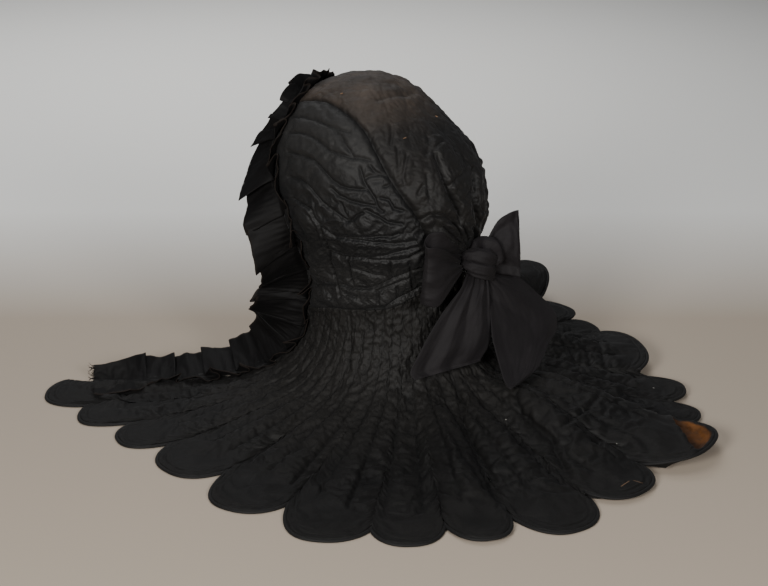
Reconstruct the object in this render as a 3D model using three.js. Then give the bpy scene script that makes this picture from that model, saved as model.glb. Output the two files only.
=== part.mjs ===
import * as THREE from 'three';

// A quilted hood that stands on its spread cape. Millimetres, +Z up, the face
// opening looks along -Y, and the wearer's left is +X. Angles are in degrees.

// Where the middle of the neck stands from the middle of the whole outline
const NECK_AXIS = { x: -3.33, y: 28.13 };

// Wall and edge sizes
const QUILT_WALL = 4.6;
const HEM_WALL = 2.6;
const RIBBON_WALL = 1.2;
const SEAM_GAP = 0.5;
const RING_GAP = { height: 0.8, from: 0.9 };
const CROWN_GAP = { brow: 0.9, nape: 3, from: 0.75, to: 0.95 };
const PIPING_WIDTH = 3.6;
const MITRE_LIMIT = 0.3;
const KNOT_SIDES = 12;

// Head: every half section through the ear-to-ear line is a rounded quarter
const HEAD_MIDDLE = 215;
const HEAD_HALF_WIDTH = 92;
const HEAD_ROUNDNESS = 2.2;
// back-to-front outline of the head, by angle up from straight back
const HEAD_OUTLINE = [
  { angle: -90, reach: 119 },
  { angle: -60, reach: 116 },
  { angle: -30, reach: 112.5 },
  { angle: 0, reach: 108 },
  { angle: 30, reach: 105 },
  { angle: 60, reach: 103 },
  { angle: 90, reach: 120.5 },
  { angle: 120, reach: 128 },
  { angle: 150, reach: 130 },
  { angle: 180, reach: 126 },
  { angle: 210, reach: 120 },
  { angle: 240, reach: 118 },
];

// Crown panel: half width along the head, from the brow to the nape
const BROW_ANGLE = 131;
const BROW_MIDDLE_ANGLE = 129;
const NAPE_ANGLE = -40.6;
const CROWN_WIDTH = [
  { angle: -40.6, half: 40 },
  { angle: -12.7, half: 62 },
  { angle: 16.8, half: 74 },
  { angle: 38, half: 76 },
  { angle: 61, half: 72 },
  { angle: 77, half: 67 },
  { angle: 92, half: 62 },
  { angle: 104, half: 55 },
  { angle: 131, half: 36 },
];
// tucks that radiate from the nape into the crown
const CROWN_TUCKS = [
  { across: -0.62, depth: 2.2 },
  { across: 0.02, depth: 3.2 },
  { across: 0.52, depth: 3.2 },
];
const TUCK_WIDTH = 0.13;
const TUCK_RUN = { start: 0.3, deep: 0.6, fade: 0.93 };
// where the panels leave the head's shape for the neck ring
const NAPE_PULL_FROM = 0.82;
const NECK_PULL_FROM = 0.5;
// how closely the panel's nape corners keep to the seam
const CORNER_HOLD = 8;
const RING_CORNER = 40;
const SIDE_END = 0.975;

// Face edge, from the brow down to the throat, as seen from the side
const FACE_EDGE = [
  { down: 0, y: -84, z: 311 },
  { down: 0.16, y: -93, z: 276 },
  { down: 0.33, y: -84, z: 240 },
  { down: 0.44, y: -73, z: 217 },
  { down: 0.65, y: -61, z: 171 },
  { down: 0.84, y: -59, z: 132 },
  { down: 1, y: -60, z: 97 },
];

// Neck ring, where the drawstring pulls the hood in
const RING = { y: 4, halfWidth: 76, halfDepth: 86, front: -48, nape: 58 };
const RING_HEIGHT = [
  { angle: -48, z: 97 },
  { angle: -17, z: 111 },
  { angle: 0, z: 115 },
  { angle: 29, z: 121 },
  { angle: 44, z: 131 },
  { angle: 58, z: 145 },
  { angle: 78, z: 155 },
  { angle: 90, z: 157 },
];

// Cape hem: one row a scallop, from the left front edge round the back
const CAPE_END = 230;
const SCALLOPS = [
  { from: -63, inner: 342, reach: 359, lift: 0 },
  { from: -51.8, inner: 314, reach: 324, lift: 0 },
  { from: -41.2, inner: 261, reach: 297, lift: 0 },
  { from: -27.5, inner: 240, reach: 288, lift: 0 },
  { from: -8, inner: 236, reach: 308, lift: 0 },
  { from: 10.3, inner: 268, reach: 334, lift: 0 },
  { from: 26.3, inner: 305, reach: 338, lift: 0 },
  { from: 38.5, inner: 300, reach: 345, lift: 3 },
  { from: 49.8, inner: 294, reach: 357, lift: 0 },
  { from: 64.9, inner: 307, reach: 347, lift: 4 },
  { from: 79.5, inner: 310, reach: 366, lift: 18 },
  { from: 98.5, inner: 308, reach: 338, lift: 3 },
  { from: 107.5, inner: 301, reach: 324, lift: 5 },
  { from: 119, inner: 275, reach: 298, lift: 18 },
  { from: 142, inner: 272, reach: 282, lift: 12 },
  { from: 152.5, inner: 262, reach: 292, lift: 14 },
  { from: 165.5, inner: 283, reach: 326, lift: 44 },
  { from: 180, inner: 300, reach: 326, lift: 16 },
  { from: 193, inner: 298, reach: 326, lift: 4 },
  { from: 206, inner: 298, reach: 330, lift: 0 },
  { from: 218.5, inner: 302, reach: 336, lift: 0 },
];
const SCALLOP_SQUARENESS = 2.5;
const SCALLOP_FULLNESS = 0.62;

// Soft folds that run out over the cape, by their angle at the hem
const CAPE_FOLDS = [
  { angle: -36, width: 9, height: 5 },
  { angle: -17, width: 10, height: 8 },
  { angle: 3, width: 9, height: 6 },
  { angle: 22, width: 8, height: 7 },
  { angle: 43.5, width: 5.5, height: 20 },
  { angle: 58, width: 6, height: 15 },
  { angle: 76, width: 8, height: 30 },
  { angle: 92, width: 7, height: 22 },
  { angle: 113, width: 8, height: 14 },
  { angle: 131, width: 9, height: 26 },
  { angle: 152, width: 8, height: 18 },
  { angle: 172, width: 9, height: 34 },
  { angle: 196, width: 9, height: 20 },
  { angle: 216, width: 8, height: 12 },
];
const FOLD_START = 0.38;
const FOLD_FULL = 0.72;
// how the cape falls: steep at the neck, then flat on what it rests on
const FALL_STEEP = { out: 0.02, height: 0.3 };
const FALL_FLAT = { out: 0.22, height: 3.6 };
// how near the floor the cloth's underside settles flat on it
const SETTLES_BELOW = 0.9;

// Pleated ribbon round the face and down both front edges of the cape
const RUFFLE = { back: 17, backLift: 5.5, pleats: 35, endOnCape: 0.92 };
const RUFFLE_CLEAR = { head: 0.4, cape: 1.6 };
const PLEAT_RISE = { back: 6, middle: 1.4, front: 9 };
const PLEAT_STEPS = 5;
// front leaf: how wide it is, and how far it flares from what it is sewn to
const LEAF_ON_CAPE = [
  { fall: 0, width: 56, flare: 68 },
  { fall: 0.16, width: 56, flare: 54 },
  { fall: 0.38, width: 44, flare: 26 },
  { fall: 0.92, width: 36, flare: 12 },
];
const LEAF_ON_SIDE = [
  { down: 0, width: 36, flare: 8 },
  { down: 0.2, width: 36, flare: 10 },
  { down: 0.35, width: 38, flare: 26 },
  { down: 0.6, width: 42, flare: 58 },
  { down: 0.8, width: 48, flare: 75 },
  { down: 1, width: 54, flare: 75 },
];
const LEAF_ON_BROW = { width: 38, flare: 14 };
const FRAME_SMOOTHING = 12;

// Bow at the nape: sections of each ribbon, its middle and half of its width
const KNOT = { x: 0, y: 104.6, z: 162, halfWidth: 13, halfDepth: 9, halfHeight: 15 };
const KNOT_OUTLINE = [
  { height: -1, reach: 0 },
  { height: -0.94, reach: 0.55 },
  { height: -0.6, reach: 0.95 },
  { height: -0.2, reach: 0.9 },
  { height: 0.2, reach: 1 },
  { height: 0.65, reach: 0.88 },
  { height: 0.95, reach: 0.5 },
  { height: 1, reach: 0 },
];
const LOOP_LEFT = [
  { at: [12.2, 109.3, 165], half: [1, -1, 8] },
  { at: [30, 112, 168], half: [2, -1, 22] },
  { at: [52, 105, 164], half: [1, 1, 34] },
  { at: [72, 90, 160], half: [0, 1, 37] },
  { at: [76, 80, 160], half: [0, 1, 35] },
  { at: [62, 88, 166], half: [0, 1, 28] },
  { at: [38, 101, 170], half: [0, 1, 17] },
  { at: [20, 103, 171], half: [0, 0, 9] },
];
const TAIL_LEFT = [
  { at: [6, 110, 148.6], half: [5, -2.5, 1.5] },
  { at: [18, 117, 128], half: [17, -12, 4] },
  { at: [29, 115, 108], half: [25, -17, 8] },
  { at: [42, 111, 83], half: [34, -23, 6] },
  { at: [53, 110, 64.6], half: [34, -22, 1] },
];
const TAIL_RIGHT = [
  { at: [-7, 109.8, 150.4], half: [5, 0, -3] },
  { at: [-24, 134, 131], half: [23, -3, -2] },
  { at: [-24, 147, 110], half: [40, -7, 0] },
  { at: [-16, 159, 89], half: [54, -8, -2] },
  { at: [10, 172, 65], half: [41, -4, -3] },
  { at: [44, 180, 51.6], half: [10, 0, -2] },
];
const TAIL_UP = [
  { at: [-13.4, 110, 166], half: [2, -3, 9] },
  { at: [-20, 128, 174], half: [8, -13, 17] },
  { at: [-26, 131, 189], half: [8, -11, 10] },
  { at: [-33, 134, 201], half: [3, -4, 6] },
  { at: [-36, 136, 209], half: [0.8, -1, 1] },
];
const RIBBON_BELLY = 3;
const RIBBON_STEPS = 3;

// How finely each piece is divided
const CROWN_GRID = { along: 15, across: 16 };
const SIDE_GRID = { along: 13, down: 14 };
const HEM_STATIONS = [0, 0.07, 0.24, 0.5, 0.76, 0.93];
const CAPE_FALLS = [0, 0.16, 0.32, 0.48, 0.62, 0.75, 0.86, 0.94, 1];
const CAPE_THINS = { from: 0.5, to: 0.9 };
const EDGE_STATIONS = { side: 16, brow: 10 };
const EDGE_MARGIN = { cape: 0.04, throat: 0.03, brow: 0.02 };
const BOW_STEPS = 2;
const NORMAL_STEP = 0.004;

const COLOURS = {
  quilt: 0x202022,
  crown: 0x2b2725,
  ribbon: 0x1a1a1c,
  bow: 0x242226,
  piping: 0x191817,
};
const ROUGHNESS = { quilt: 0.7, crown: 0.75, ribbon: 0.6, bow: 0.8, piping: 0.7 };

const { lerp, clamp, smoothstep, degToRad } = THREE.MathUtils;

// Smooth value of one column of a table at a place along its key column
function along(rows, key, value, at) {
  const last = rows.length - 1;
  let i = 0;
  while (i < last - 1 && at > rows[i + 1][key]) i += 1;
  const slope = (k) => {
    const before = rows[Math.max(k - 1, 0)];
    const after = rows[Math.min(k + 1, last)];
    return (after[value] - before[value]) / (after[key] - before[key]);
  };
  const span = rows[i + 1][key] - rows[i][key];
  const f = clamp((at - rows[i][key]) / span, 0, 1);
  const a = rows[i][value];
  const b = rows[i + 1][value];
  const cube = f * f * f;
  const square = f * f;
  return a * (2 * cube - 3 * square + 1) + b * (3 * square - 2 * cube)
    + span * (slope(i) * (cube - 2 * square + f) + slope(i + 1) * (cube - square));
}

// Half width of the head at a place seen from the side
function headHalfWidth(y, z) {
  const up = z - HEAD_MIDDLE;
  let angle = THREE.MathUtils.radToDeg(Math.atan2(up, y));
  if (angle < -90) angle += 360;
  const share = Math.hypot(y, up) / along(HEAD_OUTLINE, 'angle', 'reach', angle);
  const rest = Math.max(1 - share ** HEAD_ROUNDNESS, 0);
  return HEAD_HALF_WIDTH * rest ** (1 / HEAD_ROUNDNESS);
}

// Point of the head at an angle round the ear-to-ear line and a half width
function headPoint(angle, x) {
  const side = 1 - (Math.abs(x) / HEAD_HALF_WIDTH) ** HEAD_ROUNDNESS;
  const reach = along(HEAD_OUTLINE, 'angle', 'reach', angle) * side ** (1 / HEAD_ROUNDNESS);
  const turn = degToRad(angle);
  return new THREE.Vector3(x, reach * Math.cos(turn), HEAD_MIDDLE + reach * Math.sin(turn));
}

// Point of the neck ring, by its angle from straight left towards the back
function ringPoint(angle) {
  const folded = angle > 90 ? 180 - angle : angle;
  const turn = degToRad(angle);
  return new THREE.Vector3(
    RING.halfWidth * Math.cos(turn),
    RING.y + RING.halfDepth * Math.sin(turn),
    along(RING_HEIGHT, 'angle', 'z', folded),
  );
}

// Seam between the crown panel and the left side panel, from brow to nape
function seamPoint(s) {
  const angle = lerp(BROW_ANGLE, NAPE_ANGLE, s);
  return headPoint(angle, along(CROWN_WIDTH, 'angle', 'half', angle));
}

// Left side panel: s runs from the face edge back, t from the seam to the ring
function sidePoint(s, t) {
  const top = seamPoint(s);
  const foot = ringPoint(lerp(RING.front, RING.nape, s));
  const nape = { top: seamPoint(1), foot: ringPoint(RING.nape) };
  const front = {
    y: along(FACE_EDGE, 'down', 'y', t),
    z: along(FACE_EDGE, 'down', 'z', t),
  };
  const blend = (axis) => {
    const rows = lerp(top[axis], foot[axis], t);
    const columns = lerp(front[axis], lerp(nape.top[axis], nape.foot[axis], t), s);
    const browCorner = FACE_EDGE[0][axis];
    const throatCorner = FACE_EDGE[FACE_EDGE.length - 1][axis];
    const corners = lerp(
      lerp(browCorner, nape.top[axis], s),
      lerp(throatCorner, nape.foot[axis], s),
      t,
    );
    return rows + columns - corners;
  };
  const y = blend('y');
  const z = blend('z');
  const pull = smoothstep(t, NECK_PULL_FROM, 1);
  return new THREE.Vector3(lerp(headHalfWidth(y, z), foot.x, pull), y, z);
}

// Crown panel: s runs from brow to nape, q from the right seam to the left one
function crownPoint(s, q) {
  const seamAngle = lerp(BROW_ANGLE, NAPE_ANGLE, s);
  const half = along(CROWN_WIDTH, 'angle', 'half', seamAngle);
  const ringMiddle = ringPoint(90);
  const napeMiddle = THREE.MathUtils.radToDeg(
    Math.atan2(ringMiddle.z - HEAD_MIDDLE, ringMiddle.y),
  );
  const middleAngle = lerp(BROW_MIDDLE_ANGLE, napeMiddle, s);
  const point = headPoint(lerp(middleAngle, seamAngle, q * q), half * q);
  const last = headPoint(lerp(napeMiddle, NAPE_ANGLE, q * q), RING_CORNER * q);
  const shift = ringPoint(lerp(90, RING.nape, q)).sub(last);
  shift.z += RING_GAP.height;
  point.addScaledVector(shift, smoothstep(s, NAPE_PULL_FROM, 1) * (1 - q ** CORNER_HOLD));
  const tuck = CROWN_TUCKS.reduce((sum, row) => {
    const away = (q - row.across) / TUCK_WIDTH;
    return sum + row.depth * Math.exp(-away * away);
  }, 0);
  const runIn = smoothstep(s, TUCK_RUN.start, TUCK_RUN.deep);
  const sink = tuck * runIn * (1 - smoothstep(s, TUCK_RUN.fade, 1));
  const inward = new THREE.Vector3(0, 0, HEAD_MIDDLE).sub(point).normalize();
  return point.addScaledVector(inward, sink);
}

// Which scallop an angle of the hem falls in, and how far along it
function scallopAt(angle) {
  let i = 0;
  while (i < SCALLOPS.length - 1 && angle >= SCALLOPS[i + 1].from) i += 1;
  const next = SCALLOPS[i + 1] ?? { from: CAPE_END, inner: SCALLOPS[0].inner, lift: 0 };
  const f = clamp((angle - SCALLOPS[i].from) / (next.from - SCALLOPS[i].from), 0, 1);
  return { row: SCALLOPS[i], next, f };
}

// Point of the cape's scalloped hem at an angle round the neck
function hemPoint(angle) {
  const { row, next, f } = scallopAt(angle);
  const away = Math.abs(2 * f - 1) ** SCALLOP_SQUARENESS;
  const arch = (1 - away) ** SCALLOP_FULLNESS;
  const base = lerp(row.inner, next.inner, f);
  const reach = lerp(base, row.reach, arch) - PIPING_WIDTH - SEAM_GAP;
  const turn = degToRad(angle);
  const notchLift = Math.min(row.lift, next.lift);
  return new THREE.Vector3(
    reach * Math.cos(turn),
    reach * Math.sin(turn),
    HEM_WALL + lerp(notchLift, row.lift, arch),
  );
}

// Cape: u runs from the left front edge round the back to the right one,
// v from the neck ring to the hem
function capePoint(u, v) {
  const hemAngle = lerp(SCALLOPS[0].from, CAPE_END, u);
  const ring = ringPoint(lerp(RING.front, 180 - RING.front, u));
  const hem = hemPoint(hemAngle);
  const bezier = (a, b, c, d) => {
    const w = 1 - v;
    return w * w * w * a + 3 * w * w * v * b + 3 * w * v * v * c + v * v * v * d;
  };
  const out = bezier(0, FALL_STEEP.out, FALL_FLAT.out, 1);
  const height = bezier(ring.z, ring.z * FALL_STEEP.height, FALL_FLAT.height, hem.z);
  const fold = CAPE_FOLDS.reduce((sum, row) => {
    const away = (hemAngle - row.angle) / row.width;
    return sum + row.height * Math.exp(-away * away);
  }, 0);
  const rise = fold * smoothstep(v, FOLD_START, FOLD_FULL) * (1 - smoothstep(v, FOLD_FULL, 1));
  return new THREE.Vector3(
    lerp(ring.x, hem.x, out),
    lerp(ring.y, hem.y, out),
    Math.max(height + rise, HEM_WALL),
  );
}

// Unit normal of a surface given as a function of two shares
function surfaceNormal(surface, a, b) {
  const a0 = Math.max(a - NORMAL_STEP, 0);
  const a1 = Math.min(a + NORMAL_STEP, 1);
  const b0 = Math.max(b - NORMAL_STEP, 0);
  const b1 = Math.min(b + NORMAL_STEP, 1);
  const da = surface(a1, b).sub(surface(a0, b));
  const db = surface(a, b1).sub(surface(a, b0));
  return da.cross(db).normalize();
}

// Six times the volume that a triangle list encloses
function signedVolume(points, faces) {
  return faces.reduce((sum, [a, b, c]) => (
    sum + points[a].dot(points[b].clone().cross(points[c]))
  ), 0);
}

function closedMesh(name, points, faces, material) {
  const outward = signedVolume(points, faces) > 0;
  const order = outward ? faces : faces.map(([a, b, c]) => [a, c, b]);
  const geometry = new THREE.BufferGeometry();
  const flat = points.flatMap((p) => [p.x, p.y, p.z]);
  geometry.setAttribute('position', new THREE.Float32BufferAttribute(flat, 3));
  geometry.setIndex(order.flat());
  geometry.computeVertexNormals();
  const mesh = new THREE.Mesh(geometry, material);
  mesh.name = name;
  return mesh;
}

// Closed wall between two grids of points that face each other
function wallBetween(name, outer, inner, material) {
  const rows = outer.length;
  const columns = outer[0].length;
  const points = [...outer.flat(), ...inner.flat()];
  const at = (layer, i, j) => layer * rows * columns + i * columns + j;
  const faces = [];
  const quad = (a, b, c, d) => faces.push([a, b, c], [a, c, d]);
  for (let i = 0; i < rows - 1; i += 1) {
    for (let j = 0; j < columns - 1; j += 1) {
      quad(at(0, i, j), at(0, i + 1, j), at(0, i + 1, j + 1), at(0, i, j + 1));
      quad(at(1, i, j), at(1, i, j + 1), at(1, i + 1, j + 1), at(1, i + 1, j));
    }
  }
  for (let i = 0; i < rows - 1; i += 1) {
    quad(at(0, i, 0), at(1, i, 0), at(1, i + 1, 0), at(0, i + 1, 0));
    const j = columns - 1;
    quad(at(0, i, j), at(0, i + 1, j), at(1, i + 1, j), at(1, i, j));
  }
  for (let j = 0; j < columns - 1; j += 1) {
    quad(at(0, 0, j), at(0, 0, j + 1), at(1, 0, j + 1), at(1, 0, j));
    const i = rows - 1;
    quad(at(0, i, j), at(1, i, j), at(1, i, j + 1), at(0, i, j + 1));
  }
  return closedMesh(name, points, faces, material);
}

// Evenly spaced shares from one value to another
function shares(count, from = 0, to = 1) {
  return Array.from({ length: count + 1 }, (_, i) => lerp(from, to, i / count));
}

// Wall of a surface: its outer grid, and the same grid moved in by the wall
function surfaceWall(name, surface, as, bs, wall, outside, material, upright) {
  const outer = as.map((a) => bs.map((b) => surface(a, b)));
  const inner = as.map((a, i) => bs.map((b, j) => {
    const normal = surfaceNormal(surface, a, b).multiplyScalar(outside);
    if (upright?.(a, b)) normal.set(0, 0, 1);
    const moved = outer[i][j].clone().addScaledVector(normal, -wall(a, b));
    if (moved.z < SETTLES_BELOW) moved.z = 0;
    return moved;
  }));
  return wallBetween(name, outer, inner, material);
}

function cloth(slot) {
  return new THREE.MeshStandardMaterial({
    name: slot,
    color: COLOURS[slot],
    roughness: ROUGHNESS[slot],
    metalness: 0,
    side: THREE.DoubleSide,
  });
}

const quiltMaterial = cloth('quilt');
const crownMaterial = cloth('crown');
const ribbonMaterial = cloth('ribbon');
const bowMaterial = cloth('bow');
const pipingMaterial = cloth('piping');

function crownPanel() {
  const surface = (s, a) => {
    const angle = lerp(BROW_ANGLE, NAPE_ANGLE, s);
    const towardsNape = smoothstep(s, CROWN_GAP.from, CROWN_GAP.to);
    const gap = lerp(CROWN_GAP.brow, CROWN_GAP.nape, towardsNape);
    const edge = 1 - gap / along(CROWN_WIDTH, 'angle', 'half', angle);
    return crownPoint(s, lerp(-edge, edge, a));
  };
  return surfaceWall('crown_panel', surface, shares(CROWN_GRID.along),
    shares(CROWN_GRID.across), () => QUILT_WALL, -1, crownMaterial);
}

function sidePanel(name, mirror) {
  const surface = (s, t) => {
    const point = sidePoint(s, t);
    point.z += RING_GAP.height * smoothstep(t, RING_GAP.from, 1);
    point.x *= mirror;
    return point;
  };
  return surfaceWall(name, surface, shares(SIDE_GRID.along, 0, SIDE_END),
    shares(SIDE_GRID.down), () => QUILT_WALL, -mirror, quiltMaterial);
}

// Shares along the cape's hem, a few to each scallop and closer by its notches
function hemShares() {
  const span = CAPE_END - SCALLOPS[0].from;
  const angles = SCALLOPS.flatMap((row, i) => {
    const end = SCALLOPS[i + 1]?.from ?? CAPE_END;
    return HEM_STATIONS.map((f) => lerp(row.from, end, f));
  });
  return [...angles, CAPE_END].map((angle) => (angle - SCALLOPS[0].from) / span);
}

function cape() {
  const wall = (u, v) => (
    lerp(QUILT_WALL, HEM_WALL, smoothstep(v, CAPE_THINS.from, CAPE_THINS.to))
  );
  return surfaceWall('cape', capePoint, hemShares(), CAPE_FALLS, wall, -1, quiltMaterial,
    (u, v) => v === 1);
}

// Stations along the edge that the ruffle trims: its places and outward sides
function trimmedEdge() {
  const station = (surface, a, b, { width, flare }) => {
    const out = surfaceNormal(surface, a, b).negate();
    const clear = surface === capePoint ? RUFFLE_CLEAR.cape : RUFFLE_CLEAR.head;
    return { at: surface(a, b).addScaledVector(out, clear), out, width, flare };
  };
  const mirrored = ({ at, out, width, flare }) => ({
    at: new THREE.Vector3(-at.x, at.y, at.z),
    out: new THREE.Vector3(-out.x, out.y, out.z),
    width,
    flare,
  });
  const leafAt = (rows, key, at) => ({
    width: along(rows, key, 'width', at),
    flare: along(rows, key, 'flare', at),
  });
  const crownAcross = (s, a) => crownPoint(s, lerp(-1, 1, a));
  const falls = shares(EDGE_STATIONS.side, RUFFLE.endOnCape, EDGE_MARGIN.cape);
  const downs = shares(EDGE_STATIONS.side, 1 - EDGE_MARGIN.throat, EDGE_MARGIN.brow);
  const acrosses = shares(EDGE_STATIONS.brow, 1 - EDGE_MARGIN.brow, EDGE_MARGIN.brow);
  const onCape = (u) => falls.map((v) => (
    station(capePoint, u, v, leafAt(LEAF_ON_CAPE, 'fall', v))
  ));
  const leftFace = downs.map((t) => (
    station(sidePoint, 0, t, leafAt(LEAF_ON_SIDE, 'down', t))
  ));
  return [
    ...onCape(0),
    ...leftFace,
    ...acrosses.map((a) => station(crownAcross, 0, a, LEAF_ON_BROW)),
    ...leftFace.map(mirrored).reverse(),
    ...onCape(1).reverse(),
  ];
}

// The same edge as evenly spaced frames, with its outward directions smoothed
function ruffleFrames(count) {
  const stations = trimmedEdge();
  const run = [0];
  for (let i = 1; i < stations.length; i += 1) {
    run.push(run[i - 1] + stations[i].at.distanceTo(stations[i - 1].at));
  }
  const average = (where) => {
    const out = new THREE.Vector3();
    let width = 0;
    let flare = 0;
    const weights = stations.map((_, i) => Math.exp(-(((run[i] - where) / FRAME_SMOOTHING) ** 2)));
    const total = weights.reduce((sum, weight) => sum + weight, 0);
    stations.forEach((station, i) => {
      out.addScaledVector(station.out, weights[i] / total);
      width += station.width * (weights[i] / total);
      flare += station.flare * (weights[i] / total);
    });
    return { out, width, flare };
  };
  const placeAt = (where) => {
    let i = 0;
    while (i < run.length - 2 && where > run[i + 1]) i += 1;
    const f = (where - run[i]) / (run[i + 1] - run[i]);
    return stations[i].at.clone().lerp(stations[i + 1].at, f);
  };
  const length = run[run.length - 1];
  return shares(count, 0, length).map((where) => {
    const near = Math.max(where - FRAME_SMOOTHING, 0);
    const far = Math.min(where + FRAME_SMOOTHING, length);
    const travel = placeAt(far).sub(placeAt(near)).normalize();
    const { out, width, flare } = average(where);
    out.addScaledVector(travel, -out.dot(travel)).normalize();
    return { at: placeAt(where), out, off: out.clone().cross(travel), width, flare };
  });
}

function faceRuffle() {
  const frames = ruffleFrames(RUFFLE.pleats * PLEAT_STEPS);
  const grid = (raise) => frames.map(({ at, out, off, width, flare }, i) => {
    const wave = 0.5 - 0.5 * Math.cos((2 * Math.PI * i) / PLEAT_STEPS);
    const tilt = degToRad(flare);
    const widths = [
      { across: -RUFFLE.back, lift: RUFFLE.backLift, rise: PLEAT_RISE.back },
      { across: 0, lift: 0, rise: PLEAT_RISE.middle },
      {
        across: width * Math.cos(tilt),
        lift: width * Math.sin(tilt),
        rise: PLEAT_RISE.front,
      },
    ];
    return widths.map(({ across, lift, rise }) => at.clone()
      .addScaledVector(off, across)
      .addScaledVector(out, lift + rise * wave + raise));
  });
  return wallBetween('face_ruffle', grid(RIBBON_WALL), grid(0), ribbonMaterial);
}

// The hem line moved outwards in the plane, with mitred corners
function hemRail(offset, z) {
  const hem = hemShares().map((u) => capePoint(u, 1));
  return hem.map((point, i) => {
    const before = hem[Math.max(i - 1, 0)];
    const after = hem[Math.min(i + 1, hem.length - 1)];
    const sideways = (a, b) => new THREE.Vector3(b.y - a.y, a.x - b.x, 0).normalize();
    const first = i > 0 ? sideways(before, point) : sideways(point, after);
    const second = i < hem.length - 1 ? sideways(point, after) : first;
    const mitre = first.clone().add(second).normalize();
    const reach = offset / Math.max(mitre.dot(first), MITRE_LIMIT);
    return point.clone().addScaledVector(mitre, reach).setZ(point.z + z);
  });
}

function hemPiping() {
  const inner = hemRail(SEAM_GAP, 0);
  const outer = hemRail(SEAM_GAP + PIPING_WIDTH, 0);
  const innerFoot = hemRail(SEAM_GAP, -HEM_WALL);
  const outerFoot = hemRail(SEAM_GAP + PIPING_WIDTH, -HEM_WALL);
  const top = inner.map((point, i) => [point, outer[i]]);
  const foot = innerFoot.map((point, i) => [point, outerFoot[i]]);
  return wallBetween('hem_piping', top, foot, pipingMaterial);
}

// A ribbon through its sections, bellied across its width
function bowRibbon(name, sections) {
  const middle = new THREE.CatmullRomCurve3(sections.map(({ at }) => new THREE.Vector3(...at)));
  const half = new THREE.CatmullRomCurve3(sections.map((row) => new THREE.Vector3(...row.half)));
  const stations = shares((sections.length - 1) * BOW_STEPS);
  const across = shares(RIBBON_STEPS, -1, 1);
  const layer = (raise) => stations.map((share) => {
    const at = middle.getPoint(share);
    const width = half.getPoint(share);
    const normal = middle.getTangent(share).cross(width).normalize();
    return across.map((w) => at.clone()
      .addScaledVector(width, w)
      .addScaledVector(normal, raise + RIBBON_BELLY * (1 - w * w)));
  });
  return wallBetween(name, layer(RIBBON_WALL), layer(0), bowMaterial);
}

function bowKnot() {
  const outline = KNOT_OUTLINE.map(({ height, reach }) => new THREE.Vector2(reach, height));
  const turned = new THREE.LatheGeometry(outline, KNOT_SIDES);
  turned.rotateX(Math.PI / 2);
  turned.scale(KNOT.halfWidth, KNOT.halfDepth, KNOT.halfHeight);
  const mesh = new THREE.Mesh(turned, bowMaterial);
  mesh.name = 'bow_knot';
  mesh.position.set(KNOT.x, KNOT.y, KNOT.z);
  return mesh;
}

const hood = new THREE.Group();
hood.add(crownPanel());
hood.add(sidePanel('side_panel_left', 1));
hood.add(sidePanel('side_panel_right', -1));
hood.add(cape());
hood.add(hemPiping());
hood.add(faceRuffle());
hood.add(bowKnot());
hood.add(bowRibbon('bow_loop_left', LOOP_LEFT));
hood.add(bowRibbon('bow_tail_left', TAIL_LEFT));
hood.add(bowRibbon('bow_tail_right', TAIL_RIGHT));
hood.add(bowRibbon('bow_tail_up', TAIL_UP));
hood.position.set(-NECK_AXIS.x, -NECK_AXIS.y, 0);

export default hood;
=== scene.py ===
import math

import bpy
import numpy as np
from mathutils import Matrix


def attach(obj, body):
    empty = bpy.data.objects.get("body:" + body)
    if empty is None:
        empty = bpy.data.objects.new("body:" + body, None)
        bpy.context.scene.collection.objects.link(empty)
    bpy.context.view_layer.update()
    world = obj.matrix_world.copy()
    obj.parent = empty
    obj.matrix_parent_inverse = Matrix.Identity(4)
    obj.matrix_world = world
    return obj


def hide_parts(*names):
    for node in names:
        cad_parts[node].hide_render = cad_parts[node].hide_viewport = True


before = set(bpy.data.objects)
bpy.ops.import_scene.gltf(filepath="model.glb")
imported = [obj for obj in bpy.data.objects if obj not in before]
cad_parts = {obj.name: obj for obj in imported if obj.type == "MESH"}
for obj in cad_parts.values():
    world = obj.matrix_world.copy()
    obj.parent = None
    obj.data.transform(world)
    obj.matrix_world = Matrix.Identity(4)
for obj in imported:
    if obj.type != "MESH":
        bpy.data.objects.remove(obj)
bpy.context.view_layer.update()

# Shapes are worked out in millimetres about the middle of the neck, +Z up, the
# face opening towards -Y and the wearer's left towards +X. Angles are in degrees.
NECK_AXIS = np.array([-3.33, 28.13, 0.0])

HEAD_MIDDLE = 215.0
HEAD_HALF_WIDTH = 92.0
HEAD_ROUNDNESS = 2.2
HEAD_OUTLINE = {
    "angle": [-90, -60, -30, 0, 30, 60, 90, 120, 150, 180, 210, 240],
    "reach": [119, 116, 112.5, 108, 105, 103, 120.5, 128, 130, 126, 120, 118],
}
BROW_ANGLE = 131.0
BROW_MIDDLE_ANGLE = 129.0
NAPE_ANGLE = -40.6
CROWN_WIDTH = {
    "angle": [-40.6, -12.7, 16.8, 38, 61, 77, 92, 104, 131],
    "half": [40, 62, 74, 76, 72, 67, 62, 55, 36],
}
CROWN_TUCKS = {"across": [-0.62, 0.02, 0.52], "depth": [2.2, 3.2, 3.2]}
FACE_EDGE = {
    "down": [0, 0.16, 0.33, 0.44, 0.65, 0.84, 1],
    "y": [-84, -93, -84, -73, -61, -59, -60],
    "z": [311, 276, 240, 217, 171, 132, 97],
}
RING = {"y": 4.0, "half_width": 76.0, "half_depth": 86.0, "front": -48.0, "nape": 58.0}
RING_HEIGHT = {
    "angle": [-48, -17, 0, 29, 44, 58, 78, 90],
    "z": [97, 111, 115, 121, 131, 145, 155, 157],
}
RING_CORNER = 40.0
CAPE_END = 230.0
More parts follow.
